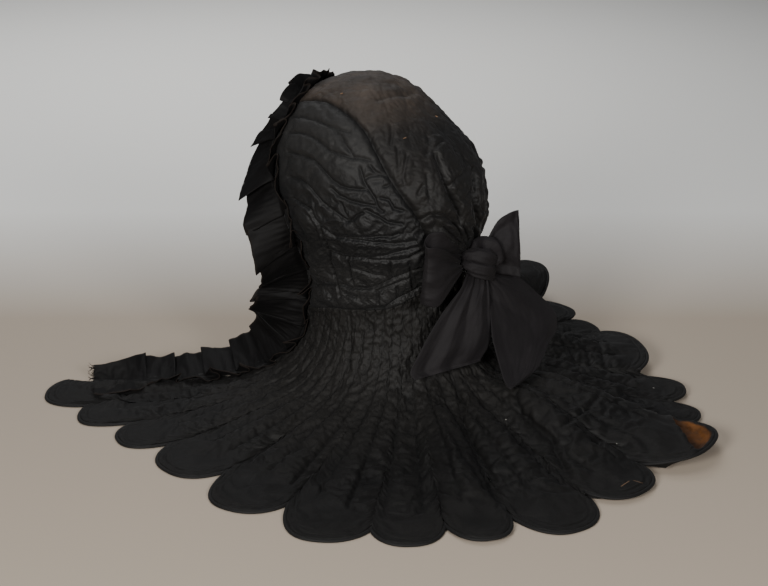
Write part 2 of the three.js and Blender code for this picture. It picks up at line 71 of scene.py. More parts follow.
SCALLOPS = {
    "from": [-63, -51.8, -41.2, -27.5, -8, 10.3, 26.3, 38.5, 49.8, 64.9, 79.5, 98.5,
             107.5, 119, 142, 152.5, 165.5, 180, 193, 206, 218.5],
    "inner": [342, 314, 261, 240, 236, 268, 305, 300, 294, 307, 310, 308,
              301, 275, 272, 262, 283, 300, 298, 298, 302],
    "reach": [359, 324, 297, 288, 308, 334, 338, 345, 357, 347, 366, 338,
              324, 298, 282, 292, 326, 326, 326, 330, 336],
    "lift": [0, 0, 0, 0, 0, 0, 0, 3, 0, 4, 18, 3,
             5, 18, 12, 14, 44, 16, 4, 0, 0],
}
HEM_WALL = 2.6
PIPING_WIDTH = 3.6
PIPING_GAP = 0.5
CAPE_FOLDS = {
    "angle": [-36, -17, 3, 22, 43.5, 58, 76, 92, 113, 131, 152, 172, 196, 216],
    "width": [9, 10, 9, 8, 5.5, 6, 8, 7, 8, 9, 8, 9, 9, 8],
    "height": [5, 8, 6, 7, 20, 15, 30, 22, 14, 26, 18, 34, 20, 12],
}
FALL_STEEP = {"out": 0.02, "height": 0.3}
FALL_FLAT = {"out": 0.22, "height": 3.6}

RUFFLE_END = 0.955
LEAF_ON_CAPE = {
    "fall": [0, 0.16, 0.38, 0.6, 0.83, 0.88, 0.955],
    "width": [56, 56, 48, 40, 36, 23, 15],
    "flare": [68, 74, 50, 24, 20, 50, 58],
}
LEAF_ON_SIDE = {
    "down": [0, 0.07, 0.11, 0.16, 0.35, 0.6, 0.8, 1],
    "width": [12, 15, 22, 36, 38, 42, 48, 54],
    "flare": [46, 32, 10, 8, 26, 58, 75, 75],
}
LEAF_ON_BROW = {
    "across": [0, 0.25, 0.5, 0.75, 1],
    "width": [10, 12, 16, 16, 11],
    "flare": [50, 74, 84, 82, 54],
}
RUFFLE_BACK = {"run": [0, 38, 60, 500, 525], "width": [42, 34, 15, 15, 23]}
# Folds of the ribbon from the cape's front edge up to the brow: millimetres along the edge,
# which way the free edge points, tuck, and how far it stands out in front and at the back
RUFFLE_FOLDS = [
    (60, 1, 9, 6, 3), (92, 1, 10, 6, 11), (121, -1, 13, 9, 13), (156, -1, 12, 7, 12), (190, -1, 8, 5, 4),
    (219, -1, 12, 6, 13), (252, -1, 8, 4, 3), (284, -1, 13, 6, 14), (319, -1, 8, 4, 3),
    (356, -1, 15, 8, 14), (391, -1, 7, 5, 2), (428, -1, 15, 11, 15), (469, -1, 13, 8, 12),
    (489, -1, 7, 4, 7), (509, -1, 7, 3, 8), (528, -1, 8, 3, 12), (547, -1, 8, 4, 14), (564, -1, 5, 4, 13),
]
RUFFLE_SLANT = {"front": -0.22, "back": -0.75}
FRAME_SMOOTHING = 12.0
BROW_PRESS = {"middle": 0.535, "width": 34.0, "share": 0.65}

# Rough lengths of cloth: crown seam to neck, brow to nape, neck to hem
SIDE_DROP = 190.0
CROWN_LENGTH = 330.0
CAPE_LENGTH = 300.0
CAPE_COLUMNS = 42
HEM_STITCH = 6.2
LINING_DEPTH = 3.6
LINING_GAP = 1.2
INNER_STEP = 3
STITCH_PX = 0.8
SPARE_STEPS = 20
CLOTH = {"quality": 3, "mass": 0.05, "tension_stiffness": 15.0, "compression_stiffness": 15.0,
         "bending_stiffness": 0.02, "vertex_group_mass": "sewn", "vertex_group_shrink": "spare"}

# Bow ribbons as the photograph shows them: both edges of each section in its pixels,
# and how many millimetres each edge lies nearer to the camera than the knot's middle
BOW_LOOP = [
    ((463, 247, 8), (464, 257, 6)),
    ((455, 236, 36), (456, 263, 26)),
    ((442, 232, 56), (441, 278, 40)),
    ((430, 234, 62), (428, 297, 40)),
    ((424, 243, 66), (421, 303, 44)),
    ((428, 248, 71), (427, 306, 50)),
    ((438, 248, 66), (438, 306, 46)),
    ((448, 252, 50), (450, 290, 36)),
    ((461, 261, 20), (462, 271, 18)),
]
BOW_TAIL_FRONT = [
    ((469, 267, 4), (486, 269, 0)),
    ((466, 275, 9), (488, 280, 3)),
    ((461, 288, 18), (489, 290, 4)),
    ((449, 304, 25), (490, 306, 4)),
    ((433, 328, 28), (491, 323, 4)),
    ((420, 352, 30), (490.5, 341, 2)),
    ((410.5, 372, 33), (482, 357, 0)),
    ((414.5, 380.5, 33), (480.5, 361, 0)),
]
BOW_TAIL_BACK = [
    ((492, 268, -5), (487, 283, 0)),
    ((505, 272, -18), (489, 293, 0)),
    ((521, 278, -34), (490, 305, 2)),
    ((540, 295, -48), (491, 322, 6)),
    ((554, 311, -54), (493, 338, 12)),
    ((556.5, 329, -48), (497, 356, 18)),
    ((549, 343, -28), (503, 376, 26)),
    ((538, 367, -2), (507, 386, 32)),
    ((520, 384, 24), (511, 389, 34)),
]
BOW_TAIL_TOP = [
    ((485, 245, -2), (488, 271, -6)),
    ((491, 232, 2), (495, 273, -8)),
    ((499, 220, 5), (504, 274.5, -9)),
    ((509, 213.5, 4), (513, 276, -10)),
    ((516, 210.7, 1), (519, 277.3, -10)),
    ((518.8, 210, 0.4), (520.8, 277.5, -10)),
]
# folds: depth, width, and the line (share along the ribbon, -1 to 1 across it)
LOOP_FOLDS = [
    (2.5, 0.20, [(0.0, 0.1), (0.15, 0.2), (0.3, 0.3)]),
    (3.0, 0.22, [(1.0, 0.0), (0.85, -0.1), (0.68, 0.1)]),
    (-2.5, 0.30, [(0.95, -0.5), (0.8, -0.55), (0.6, -0.5)]),
    (2.0, 0.18, [(1.0, 0.5), (0.86, 0.5), (0.7, 0.72)]),
]
TAIL_FRONT_FOLDS = [
    (3.2, 0.15, [(0.0, -0.1), (0.3, -0.2), (0.57, 0.1), (0.8, 0.14), (1.0, 0.15)]),
    (3.0, 0.14, [(0.0, -0.6), (0.3, -0.66), (0.52, -0.6), (0.8, -0.56), (1.0, -0.52)]),
    (-2.4, 0.2, [(0.0, -0.35), (0.5, -0.25), (1.0, -0.2)]),
    (-2.6, 0.22, [(0.0, 0.4), (0.5, 0.55), (1.0, 0.6)]),
    (2.0, 0.12, [(0.15, 0.82), (0.4, 0.88), (0.55, 0.86)]),
]
TAIL_BACK_FOLDS = [
    (4.0, 0.13, [(0.2, 0.8), (0.33, 0.35), (0.45, 0.0), (0.52, -0.12)]),
    (-2.6, 0.25, [(0.1, 0.3), (0.3, -0.1), (0.5, -0.45)]),
    (2.4, 0.18, [(0.0, -0.4), (0.12, -0.62), (0.25, -0.9)]),
    (2.0, 0.3, [(0.5, 0.7), (0.75, 0.6), (1.0, 0.4)]),
]
TAIL_TOP_FOLDS = [
    (4.0, 0.2, [(0.0, -0.55), (0.3, -0.6), (0.6, -0.68), (0.85, -0.78)]),
    (-2.5, 0.3, [(0.0, -0.1), (0.5, 0.0), (1.0, 0.1)]),
    (3.0, 0.2, [(0.0, 0.6), (0.4, 0.62), (1.0, 0.78)]),
]
# the knot's turns of ribbon: path in pixels and millimetres nearer, and thickness there
KNOT_TURNS = [
    [(471, 250, 0, 6), (478, 244, 2, 7), (486, 243, 9, 7), (493, 247, 8, 8), (496, 257, 3, 8),
     (494, 266, 3, 6)],
    [(461, 259, 10, 3), (468, 256, 16, 6), (478, 256, 18, 8), (487, 258, 15, 9), (496, 261, 3, 7)],
    [(461, 260, 9, 3), (468, 265, 16, 5), (477, 267, 18, 7), (487, 269, 15, 7), (495, 271, 2, 6)],
    [(467, 268, 8, 3), (475, 272, 11, 5), (486, 275, 10, 5), (494, 277, 0, 4)],
]

# The turned-up scallop: the near edge in front of its lining, in pixels
TURNED_EDGE = [(664, 408), (671, 416.5), (681.7, 431), (690, 444.5), (699, 454)]
TURNED_SCALLOP = (79.5, 98.5)
# loose stitches on the cape, in pixels
STITCHES = [((629.5, 480.8), (621, 486.4)), ((633.5, 480.4), (642.5, 483)), ((437.5, 117.2), (435.2, 116)),
            ((340.5, 94), (343, 93.2)), ((403, 138.7), (406, 137.6))]
LINT = [((653, 387.6), (654.2, 388.4)), ((505.4, 419.3), (506.6, 419.8)), ((616.4, 443.3), (617.2, 443.8))]

CAMERA = {
    "place": np.array([1242.258, 662.883, 646.074]),
    "right": np.array([-0.469472, 0.882948, 0.0]),
    "forward": np.array([-0.824300, -0.438290, -0.358368]),
    "focal_px": 1433.108,
    "frame_px": (768, 586),
    "sensor_mm": 36.0,
}
KNOT_MIDDLE = np.array([0, 104.6, 162])


def smoothstep(x, low, high):
    share = np.clip((x - low) / (high - low), 0, 1)
    return share * share * (3 - 2 * share)


def mix(a, b, share):
    return a + (b - a) * share


def bell(x, width):
    return np.exp(-((x / width) ** 2))


def radius_of(points):
    return np.hypot(points[..., 0], points[..., 1])


def run_along(points):
    """Length of a line of points up to each of them."""
    return np.concatenate([[0], np.cumsum(np.linalg.norm(np.diff(points, axis=0), axis=1))])


def near_ends(share):
    return (share < 0.004) | (share > 0.996)


def along(table, key, value, at):
    """Smooth value of one column of a table at places along its key column."""
    keys = np.asarray(table[key], float)
    column = np.asarray(table[value], float)
    at = np.asarray(at, float)
    index = np.arange(len(keys))
    before = np.maximum(index - 1, 0)
    after = np.minimum(index + 1, len(keys) - 1)
    slope = (column[after] - column[before]) / (keys[after] - keys[before])
    i = np.searchsorted(keys[1:-1], at, side="left")
    span = keys[i + 1] - keys[i]
    f = np.clip((at - keys[i]) / span, 0, 1)
    cube, square = f**3, f**2
    return (column[i] * (2 * cube - 3 * square + 1) + column[i + 1] * (3 * square - 2 * cube)
            + span * (slope[i] * (cube - 2 * square + f) + slope[i + 1] * (cube - square)))


def unit(v):
    return v / np.maximum(np.linalg.norm(v, axis=-1, keepdims=True), 1e-9)


def noise(x, y, seed=0):
    """Noise from hashed slopes, the same on every run."""
    def slope_dot(ix, iy, dx, dy):
        turn = np.sin(ix * 127.1 + iy * 311.7 + seed * 74.7) * 43758.5453
        turn = (turn - np.floor(turn)) * 2 * math.pi
        return np.cos(turn) * dx + np.sin(turn) * dy

    ix, iy = np.floor(x), np.floor(y)
    fx, fy = x - ix, y - iy
    wx = fx**3 * (fx * (fx * 6 - 15) + 10)
    wy = fy**3 * (fy * (fy * 6 - 15) + 10)
    low = mix(slope_dot(ix, iy, fx, fy), slope_dot(ix + 1, iy, fx - 1, fy), wx)
    high = mix(slope_dot(ix, iy + 1, fx, fy - 1), slope_dot(ix + 1, iy + 1, fx - 1, fy - 1), wx)
    return 1.5 * mix(low, high, wy)


def puffs(x, y, seed=0):
    """Rounded swellings with sharp valleys between them, as in gathered cloth."""
    return np.abs(noise(x, y, seed)) + 0.45 * np.abs(noise(2.1 * x + 5, 2.1 * y, seed + 9)) - 0.35


# ---- head and panels
def head_half_width(y, z):
    up = z - HEAD_MIDDLE
    angle = np.degrees(np.arctan2(up, y))
    angle = np.where(angle < -90, angle + 360, angle)
    share = np.hypot(y, up) / along(HEAD_OUTLINE, "angle", "reach", angle)
    rest = np.maximum(1 - share**HEAD_ROUNDNESS, 0)
    return HEAD_HALF_WIDTH * rest ** (1 / HEAD_ROUNDNESS)


def head_point(angle, x):
    side = 1 - (np.abs(x) / HEAD_HALF_WIDTH) ** HEAD_ROUNDNESS
    reach = along(HEAD_OUTLINE, "angle", "reach", angle) * side ** (1 / HEAD_ROUNDNESS)
    turn = np.radians(angle)
    return np.stack([x + 0 * turn, reach * np.cos(turn), HEAD_MIDDLE + reach * np.sin(turn)], -1)


def ring_point(angle):
    angle = np.asarray(angle, float)
    folded = np.where(angle > 90, 180 - angle, angle)
    turn = np.radians(angle)
    return np.stack([
        RING["half_width"] * np.cos(turn),
        RING["y"] + RING["half_depth"] * np.sin(turn),
        along(RING_HEIGHT, "angle", "z", folded),
    ], -1)


def seam_point(s):
    angle = mix(BROW_ANGLE, NAPE_ANGLE, s)
    return head_point(angle, along(CROWN_WIDTH, "angle", "half", angle))


def side_point(s, t):
    """Left side panel: s from the face edge back, t from the crown seam to the neck."""
    top = seam_point(s)
    foot = ring_point(mix(RING["front"], RING["nape"], s))
    nape_top, nape_foot = seam_point(np.float64(1)), ring_point(RING["nape"])

    def blend(axis, name):
        front = along(FACE_EDGE, "down", name, t)
        rows = mix(top[..., axis], foot[..., axis], t)
        columns = mix(front, mix(nape_top[axis], nape_foot[axis], t), s)
        corners = mix(
            mix(FACE_EDGE[name][0], nape_top[axis], s),
            mix(FACE_EDGE[name][-1], nape_foot[axis], s), t)
        return rows + columns - corners

    y, z = blend(1, "y"), blend(2, "z")
    x = mix(head_half_width(y, z), foot[..., 0], smoothstep(t, 0.5, 1))
    return np.stack([x, y, z], -1)


def crown_point(s, q):
    """Crown panel: s from brow to nape, q from the right seam to the left one."""
    seam_angle = mix(BROW_ANGLE, NAPE_ANGLE, s)
    half = along(CROWN_WIDTH, "angle", "half", seam_angle)
    ring_middle = ring_point(90)
    nape_middle = math.degrees(math.atan2(ring_middle[2] - HEAD_MIDDLE, ring_middle[1]))
    middle_angle = mix(BROW_MIDDLE_ANGLE, nape_middle, s)
    point = head_point(mix(middle_angle, seam_angle, q * q), half * q)
    last = head_point(mix(nape_middle, NAPE_ANGLE, q * q), RING_CORNER * q)
    shift = ring_point(mix(90, RING["nape"], q)) - last
    pull = smoothstep(s, 0.82, 1) * (1 - np.abs(q) ** 8)
    point = point + shift * pull[..., None]
    sink = sum(depth * bell(q - across, 0.13)
               for across, depth in zip(CROWN_TUCKS["across"], CROWN_TUCKS["depth"]))
    sink = sink * smoothstep(s, 0.3, 0.6) * (1 - smoothstep(s, 0.93, 1))
    return point + unit(np.array([0, 0, HEAD_MIDDLE]) - point) * sink[..., None]


# ---- cape
def scallop_at(angle):
    starts = np.array(SCALLOPS["from"], float)
    i = np.clip(np.searchsorted(starts, angle, side="right") - 1, 0, len(starts) - 1)
    ends = np.append(starts[1:], CAPE_END)
    share = np.clip((angle - starts[i]) / (ends[i] - starts[i]), 0, 1)
    return i, share


def hem_reach(angle):
    """Radius of the line through the notches, and of the hem, at each angle."""
    i, share = scallop_at(angle)
    inner = np.array(SCALLOPS["inner"] + SCALLOPS["inner"][:1], float)
    base = mix(inner[i], inner[i + 1], share)
    arch = (1 - np.abs(2 * share - 1) ** 2.5) ** 0.62
    reach = mix(base, np.array(SCALLOPS["reach"], float)[i], arch)
    return base, reach - PIPING_WIDTH - PIPING_GAP, arch


def hem_point(angle):
    i, _ = scallop_at(angle)
    _, reach, arch = hem_reach(angle)
    lift = np.array(SCALLOPS["lift"] + [0], float)
    height = HEM_WALL + mix(np.minimum(lift[i], lift[i + 1]), lift[i], arch)
    turn = np.radians(angle)
    return np.stack([reach * np.cos(turn), reach * np.sin(turn), height], -1)


def even_reach(angle):
    """Reach of the hem with its scallops smoothed away."""
    turns = np.linspace(SCALLOPS["from"][0], CAPE_END, 600)
    reach = hem_reach(turns)[1]
    padded = np.pad(reach, 30, mode="edge")
    weights = bell(np.arange(-30, 31), 15)
    return np.interp(angle, turns, np.convolve(padded, weights / weights.sum(), "valid"))


def cape_point(u, v):
    """Cape: u from the left front edge round the back to the right, v from neck to hem."""
    angle = mix(SCALLOPS["from"][0], CAPE_END, u)
    ring = ring_point(mix(RING["front"], 180 - RING["front"], u))
    hem = hem_point(angle)
    even = even_reach(angle) / hem_reach(angle)[1]
    widen = mix(even, 1, smoothstep(v, 0.5, 0.98))

    def bezier(a, b, c, d):
        w = 1 - v
        return w**3 * a + 3 * w * w * v * b + 3 * w * v * v * c + v**3 * d

    out = bezier(0, FALL_STEEP["out"], FALL_FLAT["out"], 1)
    height = bezier(ring[..., 2], ring[..., 2] * FALL_STEEP["height"], FALL_FLAT["height"], hem[..., 2])
    fold = sum(h * bell(angle - a, w)
               for a, w, h in zip(CAPE_FOLDS["angle"], CAPE_FOLDS["width"], CAPE_FOLDS["height"]))
    rise = fold * smoothstep(v, 0.38, 0.72) * (1 - smoothstep(v, 0.72, 1))
    return np.stack([
        mix(ring[..., 0], hem[..., 0] * widen, out),
        mix(ring[..., 1], hem[..., 1] * widen, out),
        np.maximum(height + rise, HEM_WALL),
    ], -1)


def normals_of(points, axis=None):
    """Directions square to a grid, turned so that the middle one goes up the given axis."""
    normals = unit(np.cross(np.gradient(points, axis=0), np.gradient(points, axis=1)))
    if axis is not None and normals[len(points) // 2, points.shape[1] // 2, axis] < 0:
        normals = -normals
    return normals


# ---- creases read off the photograph, in its pixels
CAMERA_UP = np.cross(CAMERA["right"], CAMERA["forward"])


def to_photo(points):
    away = points - CAMERA["place"]
    depth = away @ CAMERA["forward"]
    x = CAMERA["frame_px"][0] / 2 + CAMERA["focal_px"] * (away @ CAMERA["right"]) / depth
    y = CAMERA["frame_px"][1] / 2 - CAMERA["focal_px"] * (away @ CAMERA_UP) / depth
    return np.stack([x, y], -1)


def from_photo(x, y, nearer):
    """Places seen at photo pixels, a number of millimetres nearer than the knot's middle."""
    depth = (KNOT_MIDDLE - CAMERA["place"]) @ CAMERA["forward"] - np.asarray(nearer, float)
    across = (np.asarray(x, float) - CAMERA["frame_px"][0] / 2) / CAMERA["focal_px"]
    upward = (CAMERA["frame_px"][1] / 2 - np.asarray(y, float)) / CAMERA["focal_px"]
    ray = CAMERA["forward"] + across[..., None] * CAMERA["right"] + upward[..., None] * CAMERA_UP
    return CAMERA["place"] + ray * depth[..., None]


def line_distance(places, line):
    """Distance of each place to a bent line, and how far along the line that is."""
    line = np.asarray(line, float)
    best = np.full(places.shape[:-1], 1e9)
    run_at = np.zeros(places.shape[:-1])
    total = np.linalg.norm(np.diff(line, axis=0), axis=1).sum()
    run = 0.0
    for a, b in zip(line[:-1], line[1:]):
        step = b - a
        length = np.linalg.norm(step)
        share = np.clip(((places - a) @ step) / length**2, 0, 1)
        gap = np.linalg.norm(places - a - share[..., None] * step, axis=-1)
        nearer = gap < best
        best = np.where(nearer, gap, best)
        run_at = np.where(nearer, run + share * length, run_at)
        run += length
    return best, run_at, run_at / total


def crease_relief(places, creases, seed=0):
    """Height of the cloth beside sewn or folded lines: a sharp valley between soft rolls."""
    height = np.zeros(places.shape[:-1])
    for number, (depth, width, pucker, line) in enumerate(creases):
        gap, run, share = line_distance(places, line)
        ends = smoothstep(share, -0.02, 0.1) * (1 - 0.75 * smoothstep(share, 0.8, 1.02))
        valley = bell(gap, width)
        roll = 0.4 * bell(gap - 2.6 * width, 1.6 * width)
        folds = noise(run / 4.2 + 3 * number, gap * 0 + number, seed) * np.exp(-gap / 5.5)
        height += depth * (roll - valley) * ends + pucker * folds * (1 - valley)
    return height


# depth and width of the valley, height of the puckers along it, and its points
SIDE_CREASES = [
    (1.3, 2.2, 0.3, [(293, 117), (301, 117), (314, 120), (324, 124), (336, 129), (349, 132)]),
    (1.6, 2.0, 0.3, [(288, 133), (301, 133), (312, 137), (320, 143), (328, 150), (336, 153), (346, 156),
     (353, 158), (362, 158), (370, 161)]),
    (1.1, 1.8, 0.2, [(335, 131), (341, 137), (346, 146), (353, 156)]),
    (1.6, 2.2, 0.3, [(288, 152), (301, 155), (314, 160), (322, 169), (332, 180), (340, 186), (349, 188.5),
     (359, 189.5), (367, 189.5)]),
    (1.3, 1.8, 0.4, [(331, 188), (338, 195), (350, 201), (362, 204), (375, 206)]),
    (1.7, 1.8, 0.4, [(360, 168), (364, 182), (369, 190), (375, 199), (378, 208), (383, 212)]),
    (1.2, 1.5, 0.4, [(369, 165), (375, 172), (385, 176)]),
    (0.9, 1.4, 0.3, [(366, 178), (370, 176), (378, 175)]),
    (1.1, 1.4, 0.4, [(384, 187), (390, 185)]),
    (1.3, 1.6, 0.5, [(381, 198), (389, 200), (394, 209), (403, 211)]),
    (1.6, 2.2, 0.3, [(290, 177), (300, 179), (309, 186), (316, 195), (323, 203), (332, 210), (340, 216),
     (348, 221), (353, 220), (357, 215.5), (363, 213)]),
    (1.5, 2.0, 0.4, [(295, 199), (304, 205), (311, 210), (314, 218), (320, 226), (328, 232), (336, 237)]),
    (2.1, 2.0, 0.4, [(336, 237), (353, 237.5), (365, 238), (377, 237), (392, 237), (399, 234)]),
    (1.3, 1.6, 0.4, [(365, 210), (377, 215.5), (387, 222), (397, 224), (402, 224)]),
    (1.0, 1.5, 0.4, [(341, 203), (344, 212), (349, 220)]),
    (1.4, 1.6, 0.4, [(346, 239), (362, 241), (377, 243), (395, 244), (416, 241)]),
    (1.5, 1.7, 0.4, [(322, 246), (334, 253), (344, 256.5), (365, 258.5), (385, 256), (403, 251), (418, 247)]),
    (1.0, 1.5, 0.4, [(367, 260), (382, 260), (397, 261), (407, 259), (422, 251)]),
    (1.0, 1.5, 0.4, [(352, 268), (373, 275), (385, 276)]),
    (1.9, 1.8, 0.4, [(340, 284), (353, 288), (367, 289), (377, 286), (392, 279), (410, 272), (422, 268)]),
    (1.2, 1.5, 0.4, [(377, 291), (392, 285), (410, 278)]),
    (1.2, 1.6, 0.5, [(316, 285), (325, 284), (335, 285)]),
    (1.9, 2.0, 0.4, [(316, 300), (328, 305), (338, 307), (351, 309), (362, 308), (377, 307), (385, 307),
     (397, 299), (410, 293), (422, 286)]),
    (1.0, 1.4, 0.4, [(346, 294), (356, 297)]),
    (1.0, 1.6, 0.5, [(319, 226), (323, 236), (329, 249), (331, 261), (335, 273), (338, 287), (340, 297)]),
    (0.8, 1.4, 0.3, [(348, 257), (350, 271), (353, 284)]),
    (0.9, 1.4, 0.3, [(390, 262), (391, 276)]),
    (0.9, 1.4, 0.3, [(409, 262), (411, 277), (413, 288)]),
    (0.8, 1.4, 0.3, [(378, 291), (378, 304)]),
    (0.8, 1.4, 0.3, [(397, 287), (398, 299)]),
]
CROWN_CREASES = [
    (2.0, 2.2, 0.2, [(433, 150), (438, 164), (444, 182), (451, 197), (457, 210), (460, 224)]),
    (1.8, 2.2, 0.2, [(473, 164), (474, 183), (474, 202), (477, 218), (478, 227)]),
    (1.0, 2.0, 0.2, [(408, 152), (405, 164), (403, 177), (406, 189)]),
    (0.9, 1.8, 0.2, [(424, 184), (417, 196)]),
    (0.9, 2.0, 0.2, [(427, 172), (428, 189), (430, 199)]),
    (0.9, 1.8, 0.2, [(448, 187), (457, 178), (464, 172)]),
    (1.3, 2.2, 0.2, [(419, 222), (430, 215), (439, 215), (448, 217), (455, 224)]),
    (0.8, 2.0, 0.2, [(391, 124), (392, 136), (390, 147)]),
    (0.8, 2.0, 0.2, [(428, 136), (430, 146), (426, 156)]),
    (0.8, 1.8, 0.2, [(444, 140), (436, 146), (432, 152)]),
    (0.8, 2.2, 0.1, [(374, 101), (382, 98.5), (395, 96), (407, 96), (414, 93)]),
    (0.7, 2.2, 0.1, [(397, 144), (399, 162), (399, 185)]),
    (1.5, 1.6, 0.1, [(443, 226), (452, 234), (463, 246)]),
    (1.5, 1.6, 0.1, [(452, 221), (459, 232), (467, 246)]),
    (1.6, 1.6, 0.1, [(462, 224), (467, 235), (471, 247)]),
    (1.6, 1.6, 0.1, [(471, 226), (474, 236), (476, 247)]),
    (1.2, 1.6, 0.1, [(434, 234), (446, 240), (459, 250)]),
]
CAPE_CREASES = [
    (1.8, 1.7, 0.4, [(349.5, 310), (350.5, 333), (349.5, 363), (348.5, 376)]),
    (1.3, 1.6, 0.4, [(333, 376), (330, 393), (316, 405), (300, 416), (284, 433)]),
    (1.0, 1.5, 0.4, [(389, 330), (399, 325), (409, 315)]),
    (1.0, 1.5, 0.4, [(364, 341), (379, 336)]),
    (1.1, 1.7, 0.4, [(341, 397), (362, 388), (383, 372), (398, 362), (408, 350)]),
    (1.0, 1.7, 0.4, [(352, 403), (376, 391), (392, 380), (406, 369)]),
    (2.6, 3.0, 0.2, [(452, 370), (459, 390), (462, 418), (474, 447), (492, 478), (503, 507)]),
    (2.2, 2.6, 0.2, [(439, 412), (450, 430), (464, 455), (481, 482), (500, 506)]),
    (1.5, 2.0, 0.3, [(459, 374), (474, 374), (486, 377), (499, 383), (509, 389)]),
    (1.3, 1.6, 0.3, [(462, 389), (478, 390), (496, 391), (509, 389)]),
    (1.2, 1.8, 0.3, [(472, 392), (472, 412), (480, 425), (489, 437)]),
    (1.0, 1.6, 0.3, [(500, 393), (502, 410)]),
    (3.2, 3.6, 0.3, [(512, 389), (521, 412), (541, 433), (550, 440), (558, 456), (566, 472), (578, 490)]),
    (1.3, 1.8, 0.3, [(503, 433), (512, 421), (518, 412)]),
    (1.3, 1.8, 0.4, [(525, 403), (536, 397), (559, 394), (596, 393)]),
    (1.8, 2.2, 0.4, [(553, 430), (569, 421), (588, 409), (603, 389)]),
    (3.0, 3.2, 0.4, [(590, 440), (607, 443), (621, 446), (635, 458), (640, 463)]),
    (1.1, 1.7, 0.2, [(489, 474), (512, 474), (530, 469), (544, 466)]),
    (1.0, 1.7, 0.2, [(499, 455), (518, 453), (540, 456)]),
    (1.1, 1.7, 0.2, [(506, 488), (531, 490), (547, 491), (562, 493), (577, 491)]),
    (1.2, 1.8, 0.2, [(561, 338), (571, 353), (577, 362)]),
    (1.2, 1.8, 0.2, [(578, 338), (588, 353), (592, 372)]),
    (1.2, 1.8, 0.2, [(595, 333), (601, 350), (607, 373)]),
    (1.6, 2.2, 0.3, [(592, 373), (618, 381), (637, 389), (643, 395), (661, 401), (676, 417)]),
    (1.3, 2.0, 0.3, [(566, 424), (584, 411), (597, 401), (603, 385)]),
    (1.0, 1.6, 0.3, [(445, 402), (452, 414), (455, 430)]),
    (0.9, 1.6, 0.3, [(432, 372), (430, 392), (424, 412)]),
]


# ---- meshes
def linked(name, data):
    obj = bpy.data.objects.new(name, data)
    bpy.context.scene.collection.objects.link(obj)
    return obj


def mesh_object(name, points, faces, attributes=None):
    mesh = bpy.data.meshes.new(name)
    placed = (points.reshape(-1, 3) - NECK_AXIS) / 1000
    mesh.from_pydata(placed.tolist(), [], [list(face) for face in faces])
    mesh.shade_smooth()
    for key, values in (attributes or {}).items():
        layer = mesh.attributes.new(key, "FLOAT", "POINT")
        layer.data.foreach_set("value", np.asarray(values, np.float32).ravel())
    mesh.update()
    return linked(name, mesh)


def tube_faces(start, rings, around):
    """Sides of a tube whose rings of points follow one another."""
    faces = []
    for i in range(rings - 1):
        for j in range(around):
            a, b = start + around * i + j, start + around * i + (j + 1) % around
            faces.append([a, b, b + around, a + around])
    return faces


def grid_faces(rows, columns, start=0, flip=False):
    i, j = np.meshgrid(np.arange(rows - 1), np.arange(columns - 1), indexing="ij")
    a = start + i * columns + j
    quads = np.stack([a, a + columns, a + columns + 1, a + 1], -1).reshape(-1, 4)
    return quads[:, ::-1] if flip else quads


def coarse_faces(rows, columns, start, flip, step):
    """The same grid in larger faces, with every point of its border kept."""
    row_marks = [*range(0, rows - 1, step), rows - 1]
    column_marks = [*range(0, columns - 1, step), columns - 1]
    faces = []
    for i0, i1 in zip(row_marks, row_marks[1:]):
        for j0, j1 in zip(column_marks, column_marks[1:]):
            loop = [(i, j0) for i in (range(i0, i1) if j0 == 0 else [i0])]
            loop += [(i1, j) for j in (range(j0, j1) if i1 == rows - 1 else [j0])]
            loop += [(i, j1) for i in (range(i1, i0, -1) if j1 == columns - 1 else [i1])]
            loop += [(i0, j) for j in (range(j1, j0, -1) if i0 == 0 else [j1])]
            face = [start + i * columns + j for i, j in loop]
            faces.append(face[::-1] if flip else face)
    return faces


def lowest_near(height):
    """The lowest height within a few grid steps, so a coarse inner layer stays below."""
    rows, columns = height.shape
    padded = np.pad(height, INNER_STEP, mode="edge")
    steps = range(2 * INNER_STEP + 1)
    down = np.min([padded[i:i + rows] for i in steps], axis=0)
    return np.min([down[:, j:j + columns] for j in steps], axis=0)


def shell(name, outer, inner, flip, attributes, inner_step=1):
    """A closed wall between an outer grid and an inner one with the same borders."""
    rows, columns = outer.shape[:2]
    start = rows * columns
    points = np.concatenate([outer.reshape(-1, 3), inner.reshape(-1, 3)])
    faces = [*grid_faces(rows, columns, 0, flip), *coarse_faces(rows, columns, start, not flip, inner_step)]
    ring = np.concatenate([
        np.arange(columns),
        np.arange(1, rows) * columns + columns - 1,
        (rows - 1) * columns + np.arange(columns - 2, -1, -1),
        np.arange(rows - 2, 0, -1) * columns,
    ])
    after = np.roll(ring, -1)
    rim = np.stack([ring, after, after + start, ring + start], -1)
    faces += [*(rim[:, ::-1] if flip else rim)]
    both = {key: np.concatenate([np.ravel(v), np.ravel(v)]) for key, v in attributes.items()}
    lined = np.ones((rows, columns))
    lined[[0, -1], :] = lined[:, [0, -1]] = 0
    both["lining"] = np.concatenate([np.zeros(start), lined.ravel()])
    kept = np.zeros(len(points), bool)
    for face in faces:
        kept[face] = True
    number = np.cumsum(kept) - 1
    both = {key: values[kept] for key, values in both.items()}
    return mesh_object(name, points[kept], [number[face].tolist() for face in faces], both)


def place(obj, nodes, slot, *materials):
    if nodes:
        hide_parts(*nodes)
    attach(obj, "root")
    for material in materials:
        obj.data.materials.append(material)


